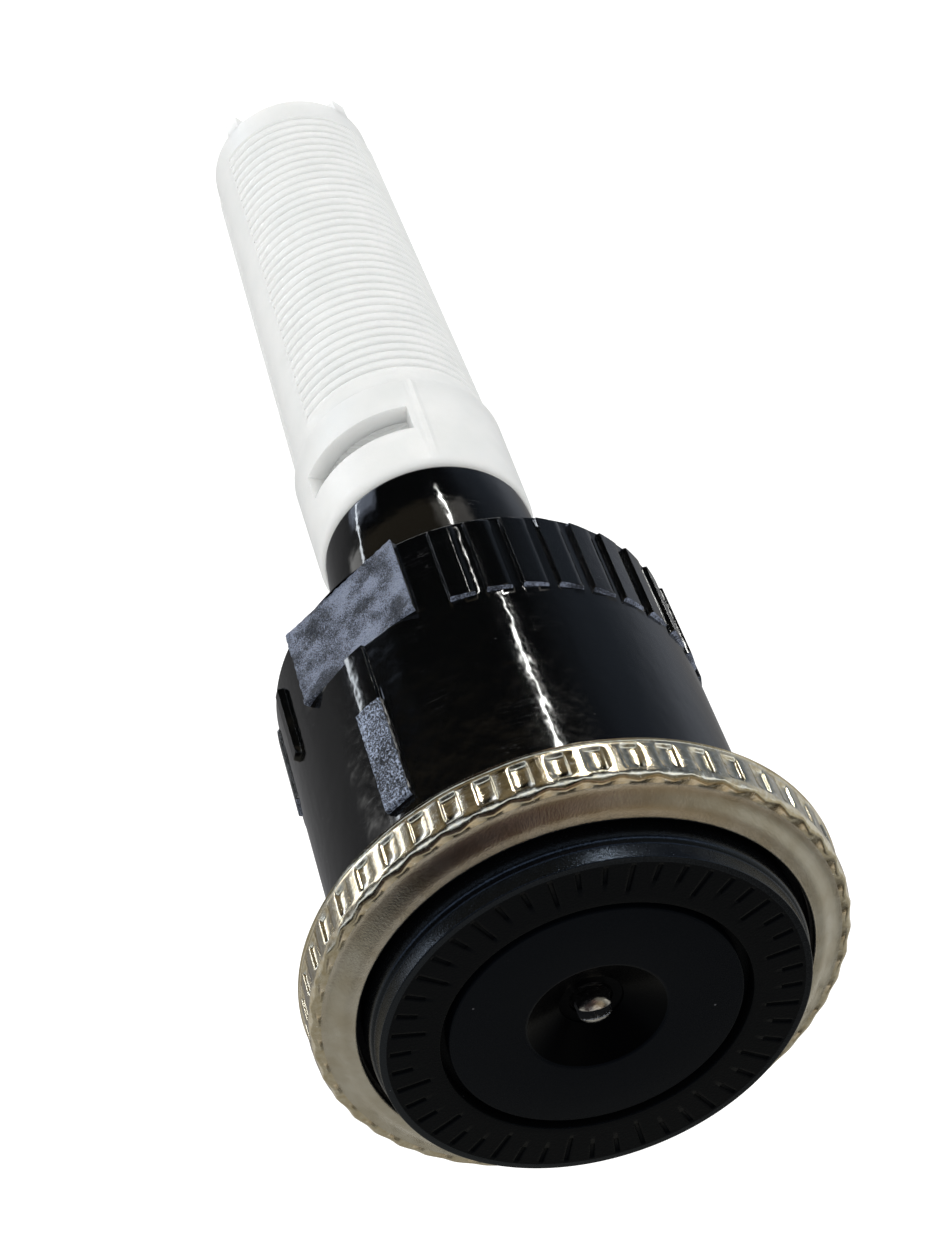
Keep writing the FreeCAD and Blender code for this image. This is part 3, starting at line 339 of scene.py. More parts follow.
def grid_points(azimuth, columns):
    """Points of a loft, one column of the outline after another."""
    size = azimuth.shape
    radius = np.stack([np.broadcast_to(r, size) for r, _ in columns], axis=1)
    level = np.stack([np.broadcast_to(z, size) for _, z in columns], axis=1)
    angle = np.radians(azimuth)[:, None]
    return np.stack([radius * np.cos(angle), radius * np.sin(angle), level], axis=2)


def grid_faces(rows, columns, keep=None):
    """Quads of a grid that closes both ways; keep says which cells stay."""
    row, column = np.meshgrid(np.arange(rows), np.arange(columns), indexing="ij")
    next_row = (row + 1) % rows
    next_column = (column + 1) % columns
    corners = [row * columns + column, next_row * columns + column,
               next_row * columns + next_column, row * columns + next_column]
    quads = np.stack(corners, axis=2)
    if keep is None:
        return quads.reshape(-1, 4)
    return quads[keep]


def loft(name, azimuth, columns, materials, body, stands_for=(), paint=None):
    """Closed loft; paint gives a material number for each (azimuth, column) cell."""
    points = grid_points(azimuth, columns)
    rows, count = points.shape[:2]
    piece = make_piece(name, points.reshape(-1, 3), grid_faces(rows, count), materials, body,
                       stands_for)
    if paint is not None:
        piece.data.polygons.foreach_set("material_index", paint.ravel().astype(np.int32))
    return piece


# ---- materials

def maths_node(tree, operation, first, second):
    """Sum, product and so on of two numbers or sockets."""
    node = tree.nodes.new("ShaderNodeMath")
    node.operation = operation
    for index, value in enumerate((first, second)):
        if isinstance(value, (int, float)):
            node.inputs[index].default_value = value
        else:
            tree.links.new(value, node.inputs[index])
    return node.outputs["Value"]


def span_node(tree, value, low, high, to_low, to_high, kind="LINEAR"):
    """Maps low..high to to_low..to_high, held at both ends."""
    node = tree.nodes.new("ShaderNodeMapRange")
    node.interpolation_type = kind
    tree.links.new(value, node.inputs["Value"])
    ends = {"From Min": low, "From Max": high, "To Min": to_low, "To Max": to_high}
    for name, number in ends.items():
        node.inputs[name].default_value = number
    return node.outputs["Result"]


class Finish:
    """A node material that is put together step by step."""

    def __init__(self, name, colour, roughness, metallic=0.0, specular=0.5):
        self.material = bpy.data.materials.new(name)
        self.material.use_nodes = True
        self.tree = self.material.node_tree
        self.surface = self.tree.nodes["Principled BSDF"]
        self.set("Base Color", (*colour, 1.0))
        self.set("Roughness", roughness)
        self.set("Metallic", metallic)
        self.set("Specular IOR Level", specular)
        place = self.tree.nodes.new("ShaderNodeTexCoord")
        self.place = place.outputs["Object"]

    def node(self, kind, **settings):
        node = self.tree.nodes.new(kind)
        for name, value in settings.items():
            setattr(node, name, value)
        return node

    def link(self, output, target):
        self.tree.links.new(output, target)

    def stretched(self, x, y, z):
        """Place in millimetres, with each axis scaled."""
        mapping = self.node("ShaderNodeMapping")
        mapping.inputs["Scale"].default_value = (x / MM, y / MM, z / MM)
        self.link(self.place, mapping.inputs["Vector"])
        return mapping.outputs["Vector"]

    def noise(self, size, detail=3.0, rough=0.55, stretch=(1.0, 1.0, 1.0)):
        """Noise whose lumps are about size millimetres wide."""
        texture = self.node("ShaderNodeTexNoise")
        texture.inputs["Scale"].default_value = 1.0 / size
        texture.inputs["Detail"].default_value = detail
        texture.inputs["Roughness"].default_value = rough
        self.link(self.stretched(*stretch), texture.inputs["Vector"])
        return texture.outputs["Fac"]

    def cells(self, size):
        """Distance from the middle of round cells about size millimetres wide."""
        texture = self.node("ShaderNodeTexVoronoi", feature="F1")
        texture.inputs["Scale"].default_value = 1.0 / size
        self.link(self.stretched(1.0, 1.0, 1.0), texture.inputs["Vector"])
        return texture.outputs["Distance"]

    def span(self, value, low, high, to_low=0.0, to_high=1.0):
        return span_node(self.tree, value, low, high, to_low, to_high)

    def combine(self, operation, first, second):
        return maths_node(self.tree, operation, first, second)

    def mixed(self, share, first, second):
        """Colour between two colours or sockets."""
        mix = self.node("ShaderNodeMix", data_type="RGBA")
        self.link(share, mix.inputs["Factor"])
        for name, value in (("A", first), ("B", second)):
            target = [socket for socket in mix.inputs if socket.name == name and socket.type == "RGBA"][0]
            if isinstance(value, tuple):
                target.default_value = (*value, 1.0)
            else:
                self.link(value, target)
        return [socket for socket in mix.outputs if socket.type == "RGBA"][0]

    def set(self, name, value):
        """Gives one input of the surface a value, a colour or a socket."""
        if isinstance(value, (int, float, tuple)):
            self.surface.inputs[name].default_value = value
        else:
            self.link(value, self.surface.inputs[name])

    def bump(self, height, distance, edge=0.0):
        """Small relief; edge is the round that the light sees on sharp edges."""
        bump = self.node("ShaderNodeBump")
        bump.inputs["Strength"].default_value = 1.0
        bump.inputs["Distance"].default_value = distance * MM
        self.link(height, bump.inputs["Height"])
        if edge:
            bevel = self.node("ShaderNodeBevel", samples=4)
            bevel.inputs["Radius"].default_value = edge * MM
            self.link(bevel.outputs["Normal"], bump.inputs["Normal"])
        self.link(bump.outputs["Normal"], self.surface.inputs["Normal"])


def scratch_lines(finish):
    """Thin, mostly level lines such as handling leaves on gloss."""
    lines = finish.noise(0.9, 2.0, 0.5, (0.25, 0.25, 3.0))
    line = finish.combine("ABSOLUTE", finish.combine("SUBTRACT", lines, 0.5), 0.0)
    patches = finish.span(finish.noise(4.0, 2.0), 0.56, 0.66)
    return finish.combine("MULTIPLY", finish.span(line, 0.0, 0.006, 1.0, 0.0), patches)


def dust_specks(finish, size=1.1):
    """Sparse light specks, size millimetres apart."""
    specks = finish.span(finish.cells(size), 0.03, 0.05, 1.0, 0.0)
    return finish.combine("MULTIPLY", specks, finish.span(finish.noise(3.0, 1.0), 0.56, 0.6))


def gloss_black():
    """Injection moulded gloss: faint flow waves, hair scratches and dust."""
    finish = Finish("gloss_black", BLACK_GLOSS, 0.1, specular=0.35)
    flow = finish.noise(5.0, 3.0, 0.5, (1.0, 1.0, 0.35))
    fine = finish.noise(0.22, 4.0, 0.6)
    scratches = scratch_lines(finish)
    specks = dust_specks(finish)
    marks = finish.combine("MAXIMUM", scratches, specks)
    finish.set("Base Color", finish.mixed(marks, BLACK_GLOSS, (0.03, 0.031, 0.033)))
    rough = finish.combine("ADD", finish.span(flow, 0.3, 0.7, 0.05, 0.10),
                           finish.span(fine, 0.4, 0.7, 0.0, 0.03))
    finish.set("Roughness", finish.combine("ADD", rough, finish.combine("MULTIPLY", marks, 0.25)))
    ripples = finish.noise(1.3, 2.0, 0.5, (1.0, 1.0, 0.7))
    relief = finish.combine("ADD", ripples, finish.combine("MULTIPLY", fine, 0.02))
    finish.bump(relief, 0.03, edge=0.04)
    return finish.material


def eroded_black(name, dark, light, size, low, high, blotch):
    """Spark-eroded pad: points between dark and light under cloudy blotches.

    low and high are the heights of the grain that come out dark and light.
    """
    finish = Finish(name, light, 0.5)
    points = finish.noise(size, 3.0, 0.8)
    crumbs = finish.cells(size * 0.9)
    clouds = finish.noise(1.6, 2.0, 0.5)
    mottled = finish.combine("ADD", finish.combine("MULTIPLY", points, 0.7),
                             finish.combine("MULTIPLY", crumbs, 0.3))
    shifted = finish.combine("ADD", mottled, finish.span(clouds, 0.35, 0.65, -blotch, blotch))
    finish.set("Base Color", finish.mixed(finish.span(shifted, low, high), dark, light))
    finish.set("Roughness", finish.span(points, 0.35, 0.65, 0.25, 0.5))
    finish.bump(mottled, 0.14)
    return finish.material


def satin_black(name, colour, roughness, size, depth, specular=0.09):
    """Fine even grain of the rotor, its cap and its cone."""
    finish = Finish(name, colour, roughness, specular=specular)
    fine = finish.noise(size, 3.0, 0.6)
    wide = finish.noise(3.5, 2.0, 0.5)
    specks = dust_specks(finish, 1.6)
    finish.set("Base Color", finish.mixed(specks, colour, (0.05, 0.05, 0.055)))
    finish.set("Specular Tint", (0.55, 0.72, 1.0, 1.0))
    finish.set("Roughness", finish.combine(
        "ADD", finish.span(fine, 0.3, 0.7, roughness - 0.05, roughness + 0.06),
        finish.span(wide, 0.4, 0.7, 0.0, 0.05)))
    finish.bump(fine, depth, edge=0.03)
    return finish.material


def pressed_steel():
    """Bright rolled strip: faint drawing lines round the band."""
    finish = Finish("pressed_steel", (0.72, 0.66, 0.52), 0.2, metallic=1.0)
    lines = finish.noise(0.5, 3.0, 0.6, (0.25, 0.25, 6.0))
    wear = finish.noise(0.35, 4.0, 0.65)
    finish.set("Base Color", finish.mixed(
        finish.span(wear, 0.35, 0.7), (0.66, 0.58, 0.42), (0.82, 0.78, 0.66)))
    finish.set("Roughness", finish.span(wear, 0.3, 0.7, 0.16, 0.28))
    relief = finish.combine("ADD", finish.combine("MULTIPLY", lines, 0.2),
                            finish.combine("MULTIPLY", wear, 0.8))
    finish.bump(relief, 0.014, edge=0.03)
    return finish.material


def satin_steel():
    """Tumbled lip: matt, with a fine grain and a few rubbed places."""
    finish = Finish("satin_steel", (0.74, 0.71, 0.63), 0.28, metallic=1.0)
    fine = finish.noise(0.12, 4.0, 0.7)
    rubbed = finish.noise(1.8, 3.0, 0.55)
    finish.set("Base Color", finish.mixed(
        finish.span(rubbed, 0.35, 0.65), (0.66, 0.62, 0.53), (0.76, 0.74, 0.68)))
    finish.set("Roughness", finish.combine("ADD", finish.span(rubbed, 0.35, 0.65, 0.13, 0.19),
                                           finish.span(fine, 0.35, 0.65, -0.03, 0.04)))
    finish.bump(fine, 0.025)
    return finish.material


def bright_steel(name, roughness):
    """Turned or drawn steel with a faint stain."""
    finish = Finish(name, (0.72, 0.72, 0.74), roughness, metallic=1.0)
    turned = finish.noise(0.2, 3.0, 0.6, (1.0, 1.0, 4.0))
    stain = finish.noise(0.6, 2.0, 0.5)
    finish.set("Base Color", finish.mixed(stain, (0.55, 0.55, 0.57), (0.85, 0.85, 0.86)))
    finish.set("Roughness", finish.span(turned, 0.3, 0.7, roughness - 0.06, roughness + 0.1))
    finish.bump(turned, 0.015)
    return finish.material


def white_moulding(name, glow):
    """Milky polypropylene; glow stands for the light that its thin walls let through."""
    finish = Finish(name, (0.82, 0.83, 0.83), 0.38, specular=0.4)
    bloom = finish.noise(2.6, 3.0, 0.5)
    fine = finish.noise(0.15, 3.0, 0.6)
    finish.set("Base Color", finish.mixed(
        finish.span(bloom, 0.35, 0.65), (0.75, 0.765, 0.76), (0.79, 0.80, 0.795)))
    finish.set("Roughness", finish.span(fine, 0.3, 0.7, 0.32, 0.46))
    finish.set("Subsurface Weight", 0.6)
    finish.set("Subsurface Radius", (1.0, 0.95, 0.9))
    finish.set("Subsurface Scale", 1.6 * MM)
    finish.set("Emission Color", (1.0, 1.0, 0.99, 1.0))
    finish.set("Emission Strength", glow)
    finish.bump(fine, 0.012, edge=0.08)
    return finish.material


def plain_moulding(name, colour, roughness, spread=0.25):
    """Moulded plastic inside the nozzle: grain and slightly uneven colour."""
    finish = Finish(name, colour, roughness)
    fine = finish.noise(0.2, 3.0, 0.6)
    wide = finish.noise(2.5, 2.0, 0.5)
    lighter = tuple(min(1.0, part * (1 + spread)) for part in colour)
    darker = tuple(part * (1 - spread) for part in colour)
    finish.set("Base Color", finish.mixed(finish.span(wide, 0.35, 0.65), darker, lighter))
    finish.set("Roughness", finish.span(fine, 0.3, 0.7, roughness - 0.06, roughness + 0.08))
    finish.bump(fine, 0.02, edge=0.05)
    return finish.material


def sintered_bronze():
    """Bronze with open pores, painted dark as the shade in them."""
    finish = Finish("sintered_bronze", (0.50, 0.31, 0.14), 0.4, metallic=1.0)
    pores = finish.span(finish.cells(0.16), 0.1, 0.35)
    # dark pore colour is painted shade in the open pores
    finish.set("Base Color", finish.mixed(pores, (0.20, 0.11, 0.05), (0.58, 0.37, 0.17)))
    finish.set("Roughness", finish.span(pores, 0.0, 1.0, 0.65, 0.33))
    finish.bump(pores, 0.02, edge=0.04)
    return finish.material


# ---- pieces

def skirt_azimuths():
    """Azimuths that catch every rib, the flat, the marker and the pockets."""
    extra = []
    for rib in range(RIB_COUNT):
        centre = RIB_AZIMUTH - RIB_PITCH * rib
        places = edge_samples(-RIB_WIDTH / 2, RIB_WIDTH / 2) + [-0.35, 0.0, 0.35]
        extra += [centre + math.degrees(place / RIM_RADIUS) for place in places]
    half_angle = math.degrees(math.atan2(FLAT_HALF_WIDTH, FLAT_DISTANCE))
    extra += list(np.arange(-half_angle, half_angle, 0.5) + FLAT_AZIMUTH)
    extra += [FLAT_AZIMUTH + place / FLAT_DISTANCE * 180 / math.pi * 0.88
              for place in edge_samples(-FLAT_HALF_WIDTH * 1.075, FLAT_HALF_WIDTH * 1.075)]
    for half, centre in ((MARKER_HALF_WIDTH, FLAT_AZIMUTH), (MARKER_FOOT_HALF_WIDTH, FLAT_AZIMUTH),
                         (SIDE_RIB_HALF_WIDTH, SIDE_RIB_AZIMUTH)):
        extra += [centre + math.degrees(place / MARKS_RADIUS) for place in edge_samples(-half, half)]
    for pocket in range(POCKET_COUNT):
        centre = pocket * FULL_TURN / POCKET_COUNT
        extra += edge_samples(centre - POCKET_HALF_ANGLE, centre + POCKET_HALF_ANGLE, edge=POCKET_EDGE)
    return round_samples(2.0, extra)


def skirt_levels():
    """Levels that catch every step, and are close together where the wall is eroded."""
    fine = list(np.arange(0.2, RIB_TOP, PIT_STEP)) + list(np.arange(MARKER_FOOT_TOP, 18.2, PIT_STEP))
    smooth = [0.0, 0.05, RIM_ROUND[1], 7.0, 8.5, 9.6, 19.3, 20.5, 21.5, SKIRT_TOP - TOP_ROUND[1], SKIRT_TOP]
    steps = edge_samples(RIB_FOOT, RIB_TOP, FLAT_TOP, MARKER_FOOT_TOP, *MARKER_LEVELS, *SIDE_RIB_LEVELS)
    levels = np.unique(np.round(np.array(fine + smooth + steps), 3))
    return levels[np.append(np.diff(levels) > 0.015, True)]


def marker_flat(azimuth, level):
    """Radius of the flat's eroded surface, and how far it replaces the round wall."""
    turn = np.radians(np.clip(turn_from(azimuth, FLAT_AZIMUTH), -30, 30))
    chord = FLAT_DISTANCE / np.cos(turn)
    along = FLAT_DISTANCE * np.tan(turn)
    share = soft_box(along, -FLAT_HALF_WIDTH, FLAT_HALF_WIDTH) * soft_box(level, -1.0, FLAT_TOP)
    lip = 0.10 * soft_box(level, FLAT_TOP - 0.42, FLAT_TOP + 1, 0.1)
    bruise = 0.12 * np.exp(-((along - 1.9) / 0.9) ** 2 - ((level - 3.6) / 1.5) ** 2)
    pitted = 0.035 * grain(along, level, 0.28) + 0.03 * grain(along, level, 0.9, 4.0)
    return chord + lip - bruise + pitted, share


def skirt_wall(azimuth, level):
    """Outside radius of the skirt, and where it is flat, marker and the rib ends that get painted glints.
    """
    azimuth = azimuth[:, None]
    level = level[None, :]
    rim_round = RIM_ROUND[0] * (1 - np.clip(level / RIM_ROUND[1], 0, 1)) ** 2
    top_round = TOP_ROUND[0] * np.clip((level - SKIRT_TOP + TOP_ROUND[1]) / TOP_ROUND[1], 0, 1) ** 2
    plain = RIM_RADIUS + (SKIRT_TOP_RADIUS - RIM_RADIUS) * level / SKIRT_TOP - rim_round - top_round
    radius = np.broadcast_to(plain, (azimuth.size, level.size)).copy()
    glint_rib_ends = np.zeros(radius.shape, bool)
    for rib in range(RIB_COUNT):
        place = across(azimuth, RIB_AZIMUTH - RIB_PITCH * rib, RIM_RADIUS)
        height = RIB_HEIGHT + RIB_TILT * place / RIB_WIDTH
        across_rib = soft_box(place, -RIB_WIDTH / 2, RIB_WIDTH / 2)
        radius += height * across_rib * soft_box(level, RIB_FOOT, RIB_TOP)
        # the ribs' end faces, which later take the pad finish as painted glints
        glint_rib_ends |= (across_rib > 0.6) & (np.abs(level - RIB_TOP) < EDGE / 2)
    flat_radius, flat = marker_flat(azimuth, level)
    radius += (flat_radius - radius) * flat
    place = across(azimuth, FLAT_AZIMUTH, MARKS_RADIUS)
    foot = soft_box(place, -MARKER_FOOT_HALF_WIDTH, MARKER_FOOT_HALF_WIDTH)
    foot = foot * soft_box(level, FLAT_TOP, MARKER_FOOT_TOP)
    radius += np.maximum(MARKER_FOOT_RADIUS - radius, 0) * foot
    marker = soft_box(place, -MARKER_HALF_WIDTH, MARKER_HALF_WIDTH) * soft_box(level, *MARKER_LEVELS)
    radius += (MARKER_RADIUS + 0.05 * grain(place, level, 0.26, 9.0) - radius) * marker
    place = across(azimuth, SIDE_RIB_AZIMUTH, MARKS_RADIUS)
    side = soft_box(place, -SIDE_RIB_HALF_WIDTH, SIDE_RIB_HALF_WIDTH) * soft_box(level, *SIDE_RIB_LEVELS)
    radius += np.maximum(SIDE_RIB_RADIUS - radius, 0) * side
    return radius, flat, marker, glint_rib_ends


def thread_radius(azimuth, level):
    """Radius of the riser thread's wall: a right-handed groove."""
    phase = np.mod((level - THREAD_PITCH * azimuth / FULL_TURN) / THREAD_PITCH, 1.0)
    depth = np.interp(phase, (0.0, 0.42, 0.5, 0.92, 1.0), (0.0, 1.0, 1.0, 0.0, 0.0))
    fade = np.clip((SOCKET_FLOOR - level) / 0.7, 0, 1)
    return SOCKET_RADIUS + THREAD_DEPTH * depth * fade


def skirt_underside(azimuth):
    """The skirt's lower face, with a ring of moulded pockets between two rims."""
    pocket = np.zeros(azimuth.shape)
    for index in range(POCKET_COUNT):
        turn = turn_from(azimuth, index * FULL_TURN / POCKET_COUNT)
        pocket += soft_box(turn, -POCKET_HALF_ANGLE, POCKET_HALF_ANGLE, POCKET_EDGE)
    roof = POCKET_DEPTH * pocket
    roof_edge = roof * 0.98 + 0.02 * pocket
    return [
        (SOCKET_RADIUS + 0.55, 0.05), (SOCKET_RADIUS + 0.65, 0.0),
        (9.3, 0.0), (9.36, 0.05), (9.38, roof_edge), (9.5, roof),
        (10.7, roof), (10.82, roof_edge), (10.84, 0.05), (10.9, 0.0),
        (RIM_RADIUS - 0.16, 0.0),
    ]


def make_skirt(finishes):
    """Skirt; finishes are gloss, eroded flat and eroded marker. The flat's finish also goes on the rib
    ends: their texture, with painted glints.
    """
    azimuth = skirt_azimuths()
    levels = skirt_levels()
    outside, flat, marker, glint_rib_ends = skirt_wall(azimuth, levels)
    columns = [(outside[:, index], level) for index, level in enumerate(levels)]
    groove_top, groove_floor = CLIP_GROOVE_LEVELS
    groove_radius = SKIRT_BORE + CLIP_GROOVE_DEPTH
    inside = rounded([
        (SKIRT_BORE, SKIRT_TOP, 0.08), (SKIRT_BORE, groove_top, 0), (groove_radius, groove_top, 0),
        (groove_radius, groove_floor, 0), (SKIRT_BORE, groove_floor, 0), (SKIRT_BORE, SKIRT_FLOOR, 0),
        (TUBE_RADIUS + 0.02, SKIRT_FLOOR, 0), (TUBE_RADIUS + 0.02, SOCKET_FLOOR, 0),
        (SOCKET_RADIUS, SOCKET_FLOOR, 0),
    ])
    columns += inside[2:]       # its first two points lean towards the last corner
    for level in np.arange(SOCKET_FLOOR - 0.1, 0.6, -THREAD_PITCH / 8):
        columns.append((thread_radius(azimuth, level), level))
    columns += skirt_underside(azimuth)
    paint = np.zeros((azimuth.size, len(columns)))
    paint[:, :levels.size][marker > 0.6] = 2
    # rib ends take the eroded pad finish: partly their own texture, partly painted glints
    paint[:, :levels.size][(flat > 0.6) | glint_rib_ends] = 1
    return loft("skirt_shell", azimuth, columns, finishes, "base", ("base_body",), paint)


def make_neck(finish):
    """Inlet tube with its flange and three keys for the stem inside."""
    keys = [turn for key in KEY_AZIMUTHS for turn in (key - KEY_HALF_ANGLE, key + KEY_HALF_ANGLE)]
    azimuth = round_samples(2.0, edge_samples(*keys, edge=KEY_EDGE))
    outline = rounded([
        (TUBE_BORE, NECK_END, 0.1), (NECK_RADIUS, NECK_END, 0.25), (NECK_RADIUS, 0, 0),
        (TUBE_RADIUS, NECK_RADIUS - TUBE_RADIUS, 0), (TUBE_RADIUS, SKIRT_FLOOR, 0),
        (FLANGE_RADIUS, SKIRT_FLOOR, 0), (FLANGE_RADIUS, FLANGE_TOP, 0.1),
        (TUBE_MOUTH_RADIUS, FLANGE_TOP, 0.1), (TUBE_MOUTH_RADIUS, TUBE_MOUTH_FLOOR, 0),
        (TUBE_BORE, TUBE_MOUTH_FLOOR, 0), (TUBE_BORE, 6.8, 0),
    ])
    key = sum(soft_box(turn_from(azimuth, centre), -KEY_HALF_ANGLE, KEY_HALF_ANGLE, KEY_EDGE)
              for centre in KEY_AZIMUTHS)
    bore = TUBE_BORE - KEY_HEIGHT * key
    columns = outline + [(bore, 6.7), (bore, -6.5), (TUBE_BORE, -6.6)]
    return loft("neck_tube", azimuth, columns, [finish], "base", ("inlet_tube",))


def ring_band(pressed, swell, uneven):
    """The dimpled band of the ring, from its rolled back edge up."""
    low = DIMPLE_LEVEL - DIMPLE_HALF_HEIGHT
    high = DIMPLE_LEVEL + DIMPLE_HALF_HEIGHT
    columns = [
        (RING_RADIUS - 0.12, RING_BACK + 0.02), (RING_RADIUS + 0.06, RING_BACK),
        (RING_RADIUS + 0.11, RING_BACK + 0.06),
    ]
    plain = [22.4, 22.46, 22.52, 22.62, 23.2, DIMPLE_LEVEL, 23.9, 24.5]
    for level in sorted(plain + edge_samples(low, high, edge=DIMPLE_END_EDGE)):
        tall = soft_box(level, low, high, DIMPLE_END_EDGE)
        rim = 0.09 * np.exp(-((level - RING_BACK) / 0.13) ** 2)
        columns.append((RING_RADIUS + rim - DIMPLE_DEPTH * pressed * tall + swell * tall + uneven, level))
    return columns


def make_ring(band_finish, lip_finish):
    """Pressed steel ring: dimpled band, wavy crease, sloping lip and its rolled inner edge."""
    pitch = FULL_TURN / DIMPLE_COUNT
    half = math.degrees(DIMPLE_HALF_WIDTH / RING_RADIUS)
    extra = [DIMPLE_AZIMUTH + pitch * index + place for index in range(DIMPLE_COUNT)
             for place in edge_samples(-half, half, edge=DIMPLE_SIDE_EDGE) + [0.0, 2.8, 3.75]]
    azimuth = round_samples(FULL_TURN, extra)
    place = np.mod(azimuth - DIMPLE_AZIMUTH + pitch / 2, pitch) - pitch / 2
    pressed = soft_box(place, -half, half, DIMPLE_SIDE_EDGE)
    swell = -0.02 * np.cos(np.radians(place / pitch * FULL_TURN))
    uneven = 0.03 * grain(azimuth, 0.0 * azimuth, 9.0)
    columns = ring_band(pressed, swell, uneven)
    wave = 0.5 + 0.5 * np.cos(np.radians(place / pitch * FULL_TURN))
    inward = WAVE_DEPTH * wave
    crease = RING_BAND_TOP - 0.03 + WAVE_HEIGHT * wave + 0.6 * uneven
    columns += [
        (RING_RADIUS - inward * 0.8, crease - 0.06), (RING_RADIUS - 0.05 - inward, crease + 0.06),
        (RING_RADIUS - 0.15 - inward, crease + 0.13), (RING_RADIUS - 0.30 - inward, crease + 0.15),
    ]
    first_lip = len(columns)
    columns += [
        (14.3, RING_BAND_TOP + 0.17), (14.12, 24.99), (13.9, 25.07), (13.65, 25.25), (13.42, 25.45),
        (13.26, 25.56), (13.12, 25.63), (12.98, 25.675), (12.84, 25.71), (12.7, 25.738),
        (12.63, RING_CREST), (12.58, RING_CREST - 0.015), (12.53, RING_CREST - 0.06),
        (RING_OPENING, RING_CREST - 0.17), (RING_OPENING, 25.14),
    ]
    inner_wall = 14.42 - DIMPLE_DEPTH * 0.6 * pressed
    columns += [
        (12.54, 25.1), (12.8, 25.1), (12.95, RING_CREST - RING_GAUGE), (13.5, 24.95), (14.2, 24.75),
        (14.36, 24.62), (14.42, 24.45), (inner_wall, DIMPLE_LEVEL + DIMPLE_HALF_HEIGHT - 0.1),
        (inner_wall, DIMPLE_LEVEL - DIMPLE_HALF_HEIGHT + 0.1), (14.5, RING_BACK + 0.05),
    ]
    paint = np.zeros((azimuth.size, len(columns)))
    paint[:, first_lip:] = 1
    return loft("ring_shell", azimuth, columns, [band_finish, lip_finish], "arc_ring",
                ("steel_crown",), paint)


def channel_depth(azimuth, radius):
    """Depth of the stream channels below the rotor's cone."""
    start = HUB_RADIUS - 1.2
    skew = math.radians(CHANNEL_SKEW)
    reach = np.sqrt(radius ** 2 - (start * math.sin(skew)) ** 2) - start * math.cos(skew)
    swing = math.degrees(math.atan2(reach * math.sin(skew), start + reach * math.cos(skew)))
    pitch = FULL_TURN / CHANNEL_COUNT
    offset = np.mod(azimuth - swing + pitch / 2, pitch) - pitch / 2
    apart = np.radians(offset) * radius * math.cos(skew)
    return np.sqrt(np.clip(CHANNEL_RADIUS ** 2 - apart ** 2, 0, None)) * 0.9


def face_ticks(azimuth):
    """The rotor's face from its rim to the cap's recess, engraved with short and long ticks."""
    step = FULL_TURN / TICK_COUNT
    number = np.round(azimuth / step).astype(int)
    tick = soft_box(turn_from(azimuth, number * step), -TICK_HALF_ANGLE, TICK_HALF_ANGLE, TICK_EDGE)
    long_tick = tick * (number % LONG_TICK_EVERY == 0)
    outer_end, short_end, long_end = TICK_RADII
    columns = []
    for end in TICK_RADII:
        for radius in edge_samples(end, edge=0.08)[::-1]:
            within = 1 - smooth_step(radius, outer_end - 0.04, outer_end + 0.04)
            short_share = smooth_step(radius, short_end - 0.04, short_end + 0.04)
            long_share = smooth_step(radius, long_end - 0.04, long_end + 0.04)
            cut = within * np.maximum(tick * short_share, long_tick * long_share)
            columns.append((radius, FACE_LEVEL - TICK_DEPTH * cut))
    return columns


def make_rotor(finish, side_finish):
    """Rotor plate: channelled cone below, shiny side and engraved face."""
    step = FULL_TURN / TICK_COUNT
    tick_edges = edge_samples(-TICK_HALF_ANGLE, TICK_HALF_ANGLE, edge=TICK_EDGE)
    extra = [index * step + place for index in range(TICK_COUNT) for place in tick_edges]
    azimuth = round_samples(0.75, extra)
    columns = [(1.92, HUB_LEVEL), (3.4, HUB_LEVEL), (HUB_RADIUS, HUB_LEVEL)]
    for radius in np.linspace(HUB_RADIUS + 0.2, ROTOR_RADIUS, 22):
        cone = HUB_LEVEL + (radius - HUB_RADIUS) / (ROTOR_RADIUS - HUB_RADIUS) * (ROTOR_RIM - HUB_LEVEL)
        columns.append((radius, cone + channel_depth(azimuth, radius)))
    first_side = len(columns)
    columns += rounded([
        (ROTOR_RADIUS, 25.4, 0), (ROTOR_RADIUS, 26.66, 0.32), (FACE_RADIUS + 0.03, 26.74, 0.05),
        (FACE_RADIUS, FACE_LEVEL, 0.07), (11.4, FACE_LEVEL, 0),
    ])
    first_face = len(columns) - 1
    columns += face_ticks(azimuth)
    columns += rounded([
        (9.0, FACE_LEVEL, 0), (CAP_RECESS, FACE_LEVEL, 0.06), (CAP_RECESS, CAP_SEAT, 0),
        (GREASE_ROOM_RADIUS, CAP_SEAT, 0), (GREASE_ROOM_RADIUS, 22.9, 0), (2.7, 22.9, 0), (2.7, 21.4, 0),
        (1.92, 21.4, 0),
    ])
    paint = np.zeros((azimuth.size, len(columns)))
    paint[:, first_side:first_face] = 1
    return loft("rotor_disc", azimuth, columns, [finish, side_finish], "rotor",
                ("rotor_plate",), paint)


